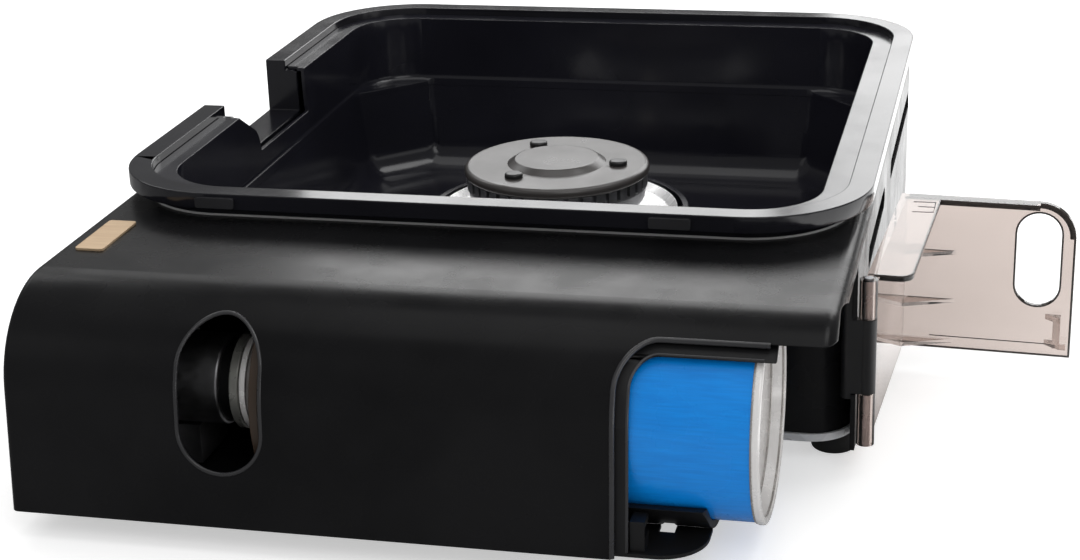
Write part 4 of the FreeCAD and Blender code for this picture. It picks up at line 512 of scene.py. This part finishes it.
floor_mesh = bpy.data.meshes.new("floor")
floor_corners = [(x * FLOOR_REACH, y * FLOOR_REACH, 0) for x, y in ((-1, -1), (1, -1), (1, 1), (-1, 1))]
floor_mesh.from_pydata(floor_corners, [], [(0, 1, 2, 3)])
staged(bpy.data.objects.new("floor", floor_mesh))
pale = Look("floor_paper", level=0.2)
pale.colours(pale.noise(scale=2.0), (0.3, (0.86, 0.86, 0.86)), (0.7, (0.88, 0.88, 0.88)))
pale.rough(pale.noise(scale=4.0), 0.75, 0.85)
rays = pale.add("ShaderNodeLightPath")
direct = pale.add("ShaderNodeMath", operation="MAXIMUM")
pale.link(rays.outputs["Is Camera Ray"], direct.inputs[0])
pale.link(rays.outputs["Is Transmission Ray"], direct.inputs[1])
glow = pale.add("ShaderNodeMath", operation="MULTIPLY")
glow.inputs[1].default_value = FLOOR_GLOW
pale.link(direct.outputs[0], glow.inputs[0])
pale.surface.inputs["Emission Color"].default_value = (1, 1, 1, 1)
pale.link(glow.outputs[0], pale.surface.inputs["Emission Strength"])

mirrored = pale.add("ShaderNodeBsdfPrincipled")
mirrored.inputs["Roughness"].default_value = MIRRORED_ROUGHNESS
mirrored.inputs["Emission Strength"].default_value = MIRRORED_GLOW
across = pale.add("ShaderNodeSeparateXYZ")
pale.link(pale.place, across.inputs[0])
slant = pale.add("ShaderNodeMath", operation="MULTIPLY_ADD")
slant.inputs[1].default_value = Y_SHARE
pale.link(across.outputs["Y"], slant.inputs[0])
pale.link(across.outputs["X"], slant.inputs[2])
reach = pale.ranged(slant.outputs[0], 0.0, 1.0, DARK_UNTIL, PALE_FROM)
grey = pale.ramp(reach, (0.3, MIRRORED_DARK), (0.7, MIRRORED_PALE))
pale.link(grey, mirrored.inputs["Emission Color"])
pale.link(grey, mirrored.inputs["Base Color"])
bounced = pale.add("ShaderNodeMath", operation="SUBTRACT", use_clamp=True)
pale.link(rays.outputs["Is Glossy Ray"], bounced.inputs[0])
pale.link(rays.outputs["Is Transmission Ray"], bounced.inputs[1])
either = pale.add("ShaderNodeMixShader")
pale.link(bounced.outputs[0], either.inputs[0])
pale.link(pale.surface.outputs[0], either.inputs[1])
pale.link(mirrored.outputs[0], either.inputs[2])
pale.link(either.outputs[0], pale.out.inputs["Surface"])
floor_mesh.materials.append(pale.material)

# Surroundings: white to the eye and in clear plastic, dimmer as light and dimmest where they are mirrored

SKY_SEEN, SKY_LIGHT, SKY_MIRRORED = 1.0, 0.5, 0.2

world = bpy.data.worlds.new("studio")
scene.world = world
world.use_nodes = True
tree = world.node_tree
tree.nodes.clear()
background = tree.nodes.new("ShaderNodeBackground")
world_out = tree.nodes.new("ShaderNodeOutputWorld")
tree.links.new(background.outputs[0], world_out.inputs["Surface"])
background.inputs["Color"].default_value = (1, 1, 1, 1)
path = tree.nodes.new("ShaderNodeLightPath")
seen = tree.nodes.new("ShaderNodeMath")
seen.operation = "MAXIMUM"
tree.links.new(path.outputs["Is Camera Ray"], seen.inputs[0])
tree.links.new(path.outputs["Is Transmission Ray"], seen.inputs[1])
unseen = tree.nodes.new("ShaderNodeMapRange")
unseen.inputs["To Min"].default_value = SKY_LIGHT
unseen.inputs["To Max"].default_value = SKY_MIRRORED
tree.links.new(path.outputs["Is Glossy Ray"], unseen.inputs["Value"])
level = tree.nodes.new("ShaderNodeMapRange")
tree.links.new(unseen.outputs["Result"], level.inputs["To Min"])
level.inputs["To Max"].default_value = SKY_SEEN
tree.links.new(seen.outputs[0], level.inputs["Value"])
tree.links.new(level.outputs["Result"], background.inputs["Strength"])

# Lights: name, middle and aim in metres, width, height, and strength

LIGHTS = (
    ("light_back_right", (0.3, 1.4, 0.7), (0.05, 0.0, 0.05), 0.8, 0.72, 3.0),
    ("light_back_middle", (-0.36, 1.4, 0.8), (0.05, 0.0, 0.05), 0.54, 0.6, 3.3),
    ("light_back_left", (-0.8, 1.4, 1.06), (-0.05, 0.0, 0.05), 0.5, 0.5, 1.2),
    ("light_top", (0.0, -0.1, 1.35), (0.0, 0.0, 0.0), 1.1, 0.9, 0.9),
    ("light_front_right", (0.75, -1.25, 1.35), (0.05, -0.1, 0.03), 1.0, 0.8, 1.7),
    ("light_front_left", (-1.1, -1.1, 0.9), (0.0, 0.0, 0.05), 0.9, 0.7, 0.3),
    ("light_well_right", (0.66, 0.36, 1.36), (-0.1, 0.15, 0.03), 0.5, 0.5, 3.0),
    ("light_well_left", (-0.85, 0.6, 0.85), (0.08, 0.15, 0.03), 0.35, 0.35, 3.0),
    ("light_right", (1.4, -0.45, 0.42), (0.0, 0.0, 0.05), 0.8, 0.6, 0.5),
)


def softbox(name, middle, aim, wide, tall, strength):
    """A rectangular studio light whose brightness, per area, is strength."""
    lamp = bpy.data.lights.new(name, "AREA")
    lamp.shape = "RECTANGLE"
    lamp.size = wide
    lamp.size_y = tall
    lamp.energy = strength * math.pi * wide * tall
    item = bpy.data.objects.new(name, lamp)
    scene.collection.objects.link(item)
    item.location = middle
    item.rotation_euler = (Vector(aim) - Vector(middle)).to_track_quat("-Z", "Y").to_euler()
    item.visible_camera = False
    item.visible_transmission = False


for light in LIGHTS:
    softbox(*light)

# Camera, as fitted to the photograph: place in millimetres, angles in degrees, focal length in pixels

CAMERA_PLACE = (313.18, -554.81, 301.63)
YAW, PITCH, ROLL = (math.radians(angle) for angle in (13.67, 20.4, 1.85))
FOCAL_LENGTH, PHOTO_WIDTH = 2104.8, 1080
SENSOR_WIDTH = 36.0

camera_data = bpy.data.cameras.new("camera")
camera = bpy.data.objects.new("camera", camera_data)
scene.collection.objects.link(camera)
ahead = Vector((-math.sin(YAW) * math.cos(PITCH), math.cos(YAW) * math.cos(PITCH), -math.sin(PITCH)))
right = Vector((math.cos(YAW), math.sin(YAW), 0.0))
down = ahead.cross(right)
right, down = (
    math.cos(ROLL) * right + math.sin(ROLL) * down,
    -math.sin(ROLL) * right + math.cos(ROLL) * down,
)
facing = Matrix((right, -down, -ahead)).transposed().to_4x4()
camera.matrix_world = Matrix.Translation(at(*CAMERA_PLACE)) @ facing
camera_data.sensor_width = SENSOR_WIDTH
camera_data.lens = FOCAL_LENGTH / PHOTO_WIDTH * SENSOR_WIDTH
camera_data.clip_start = 0.01
camera_data.clip_end = 50.0
scene.camera = camera
scene.view_settings.view_transform = "Standard"
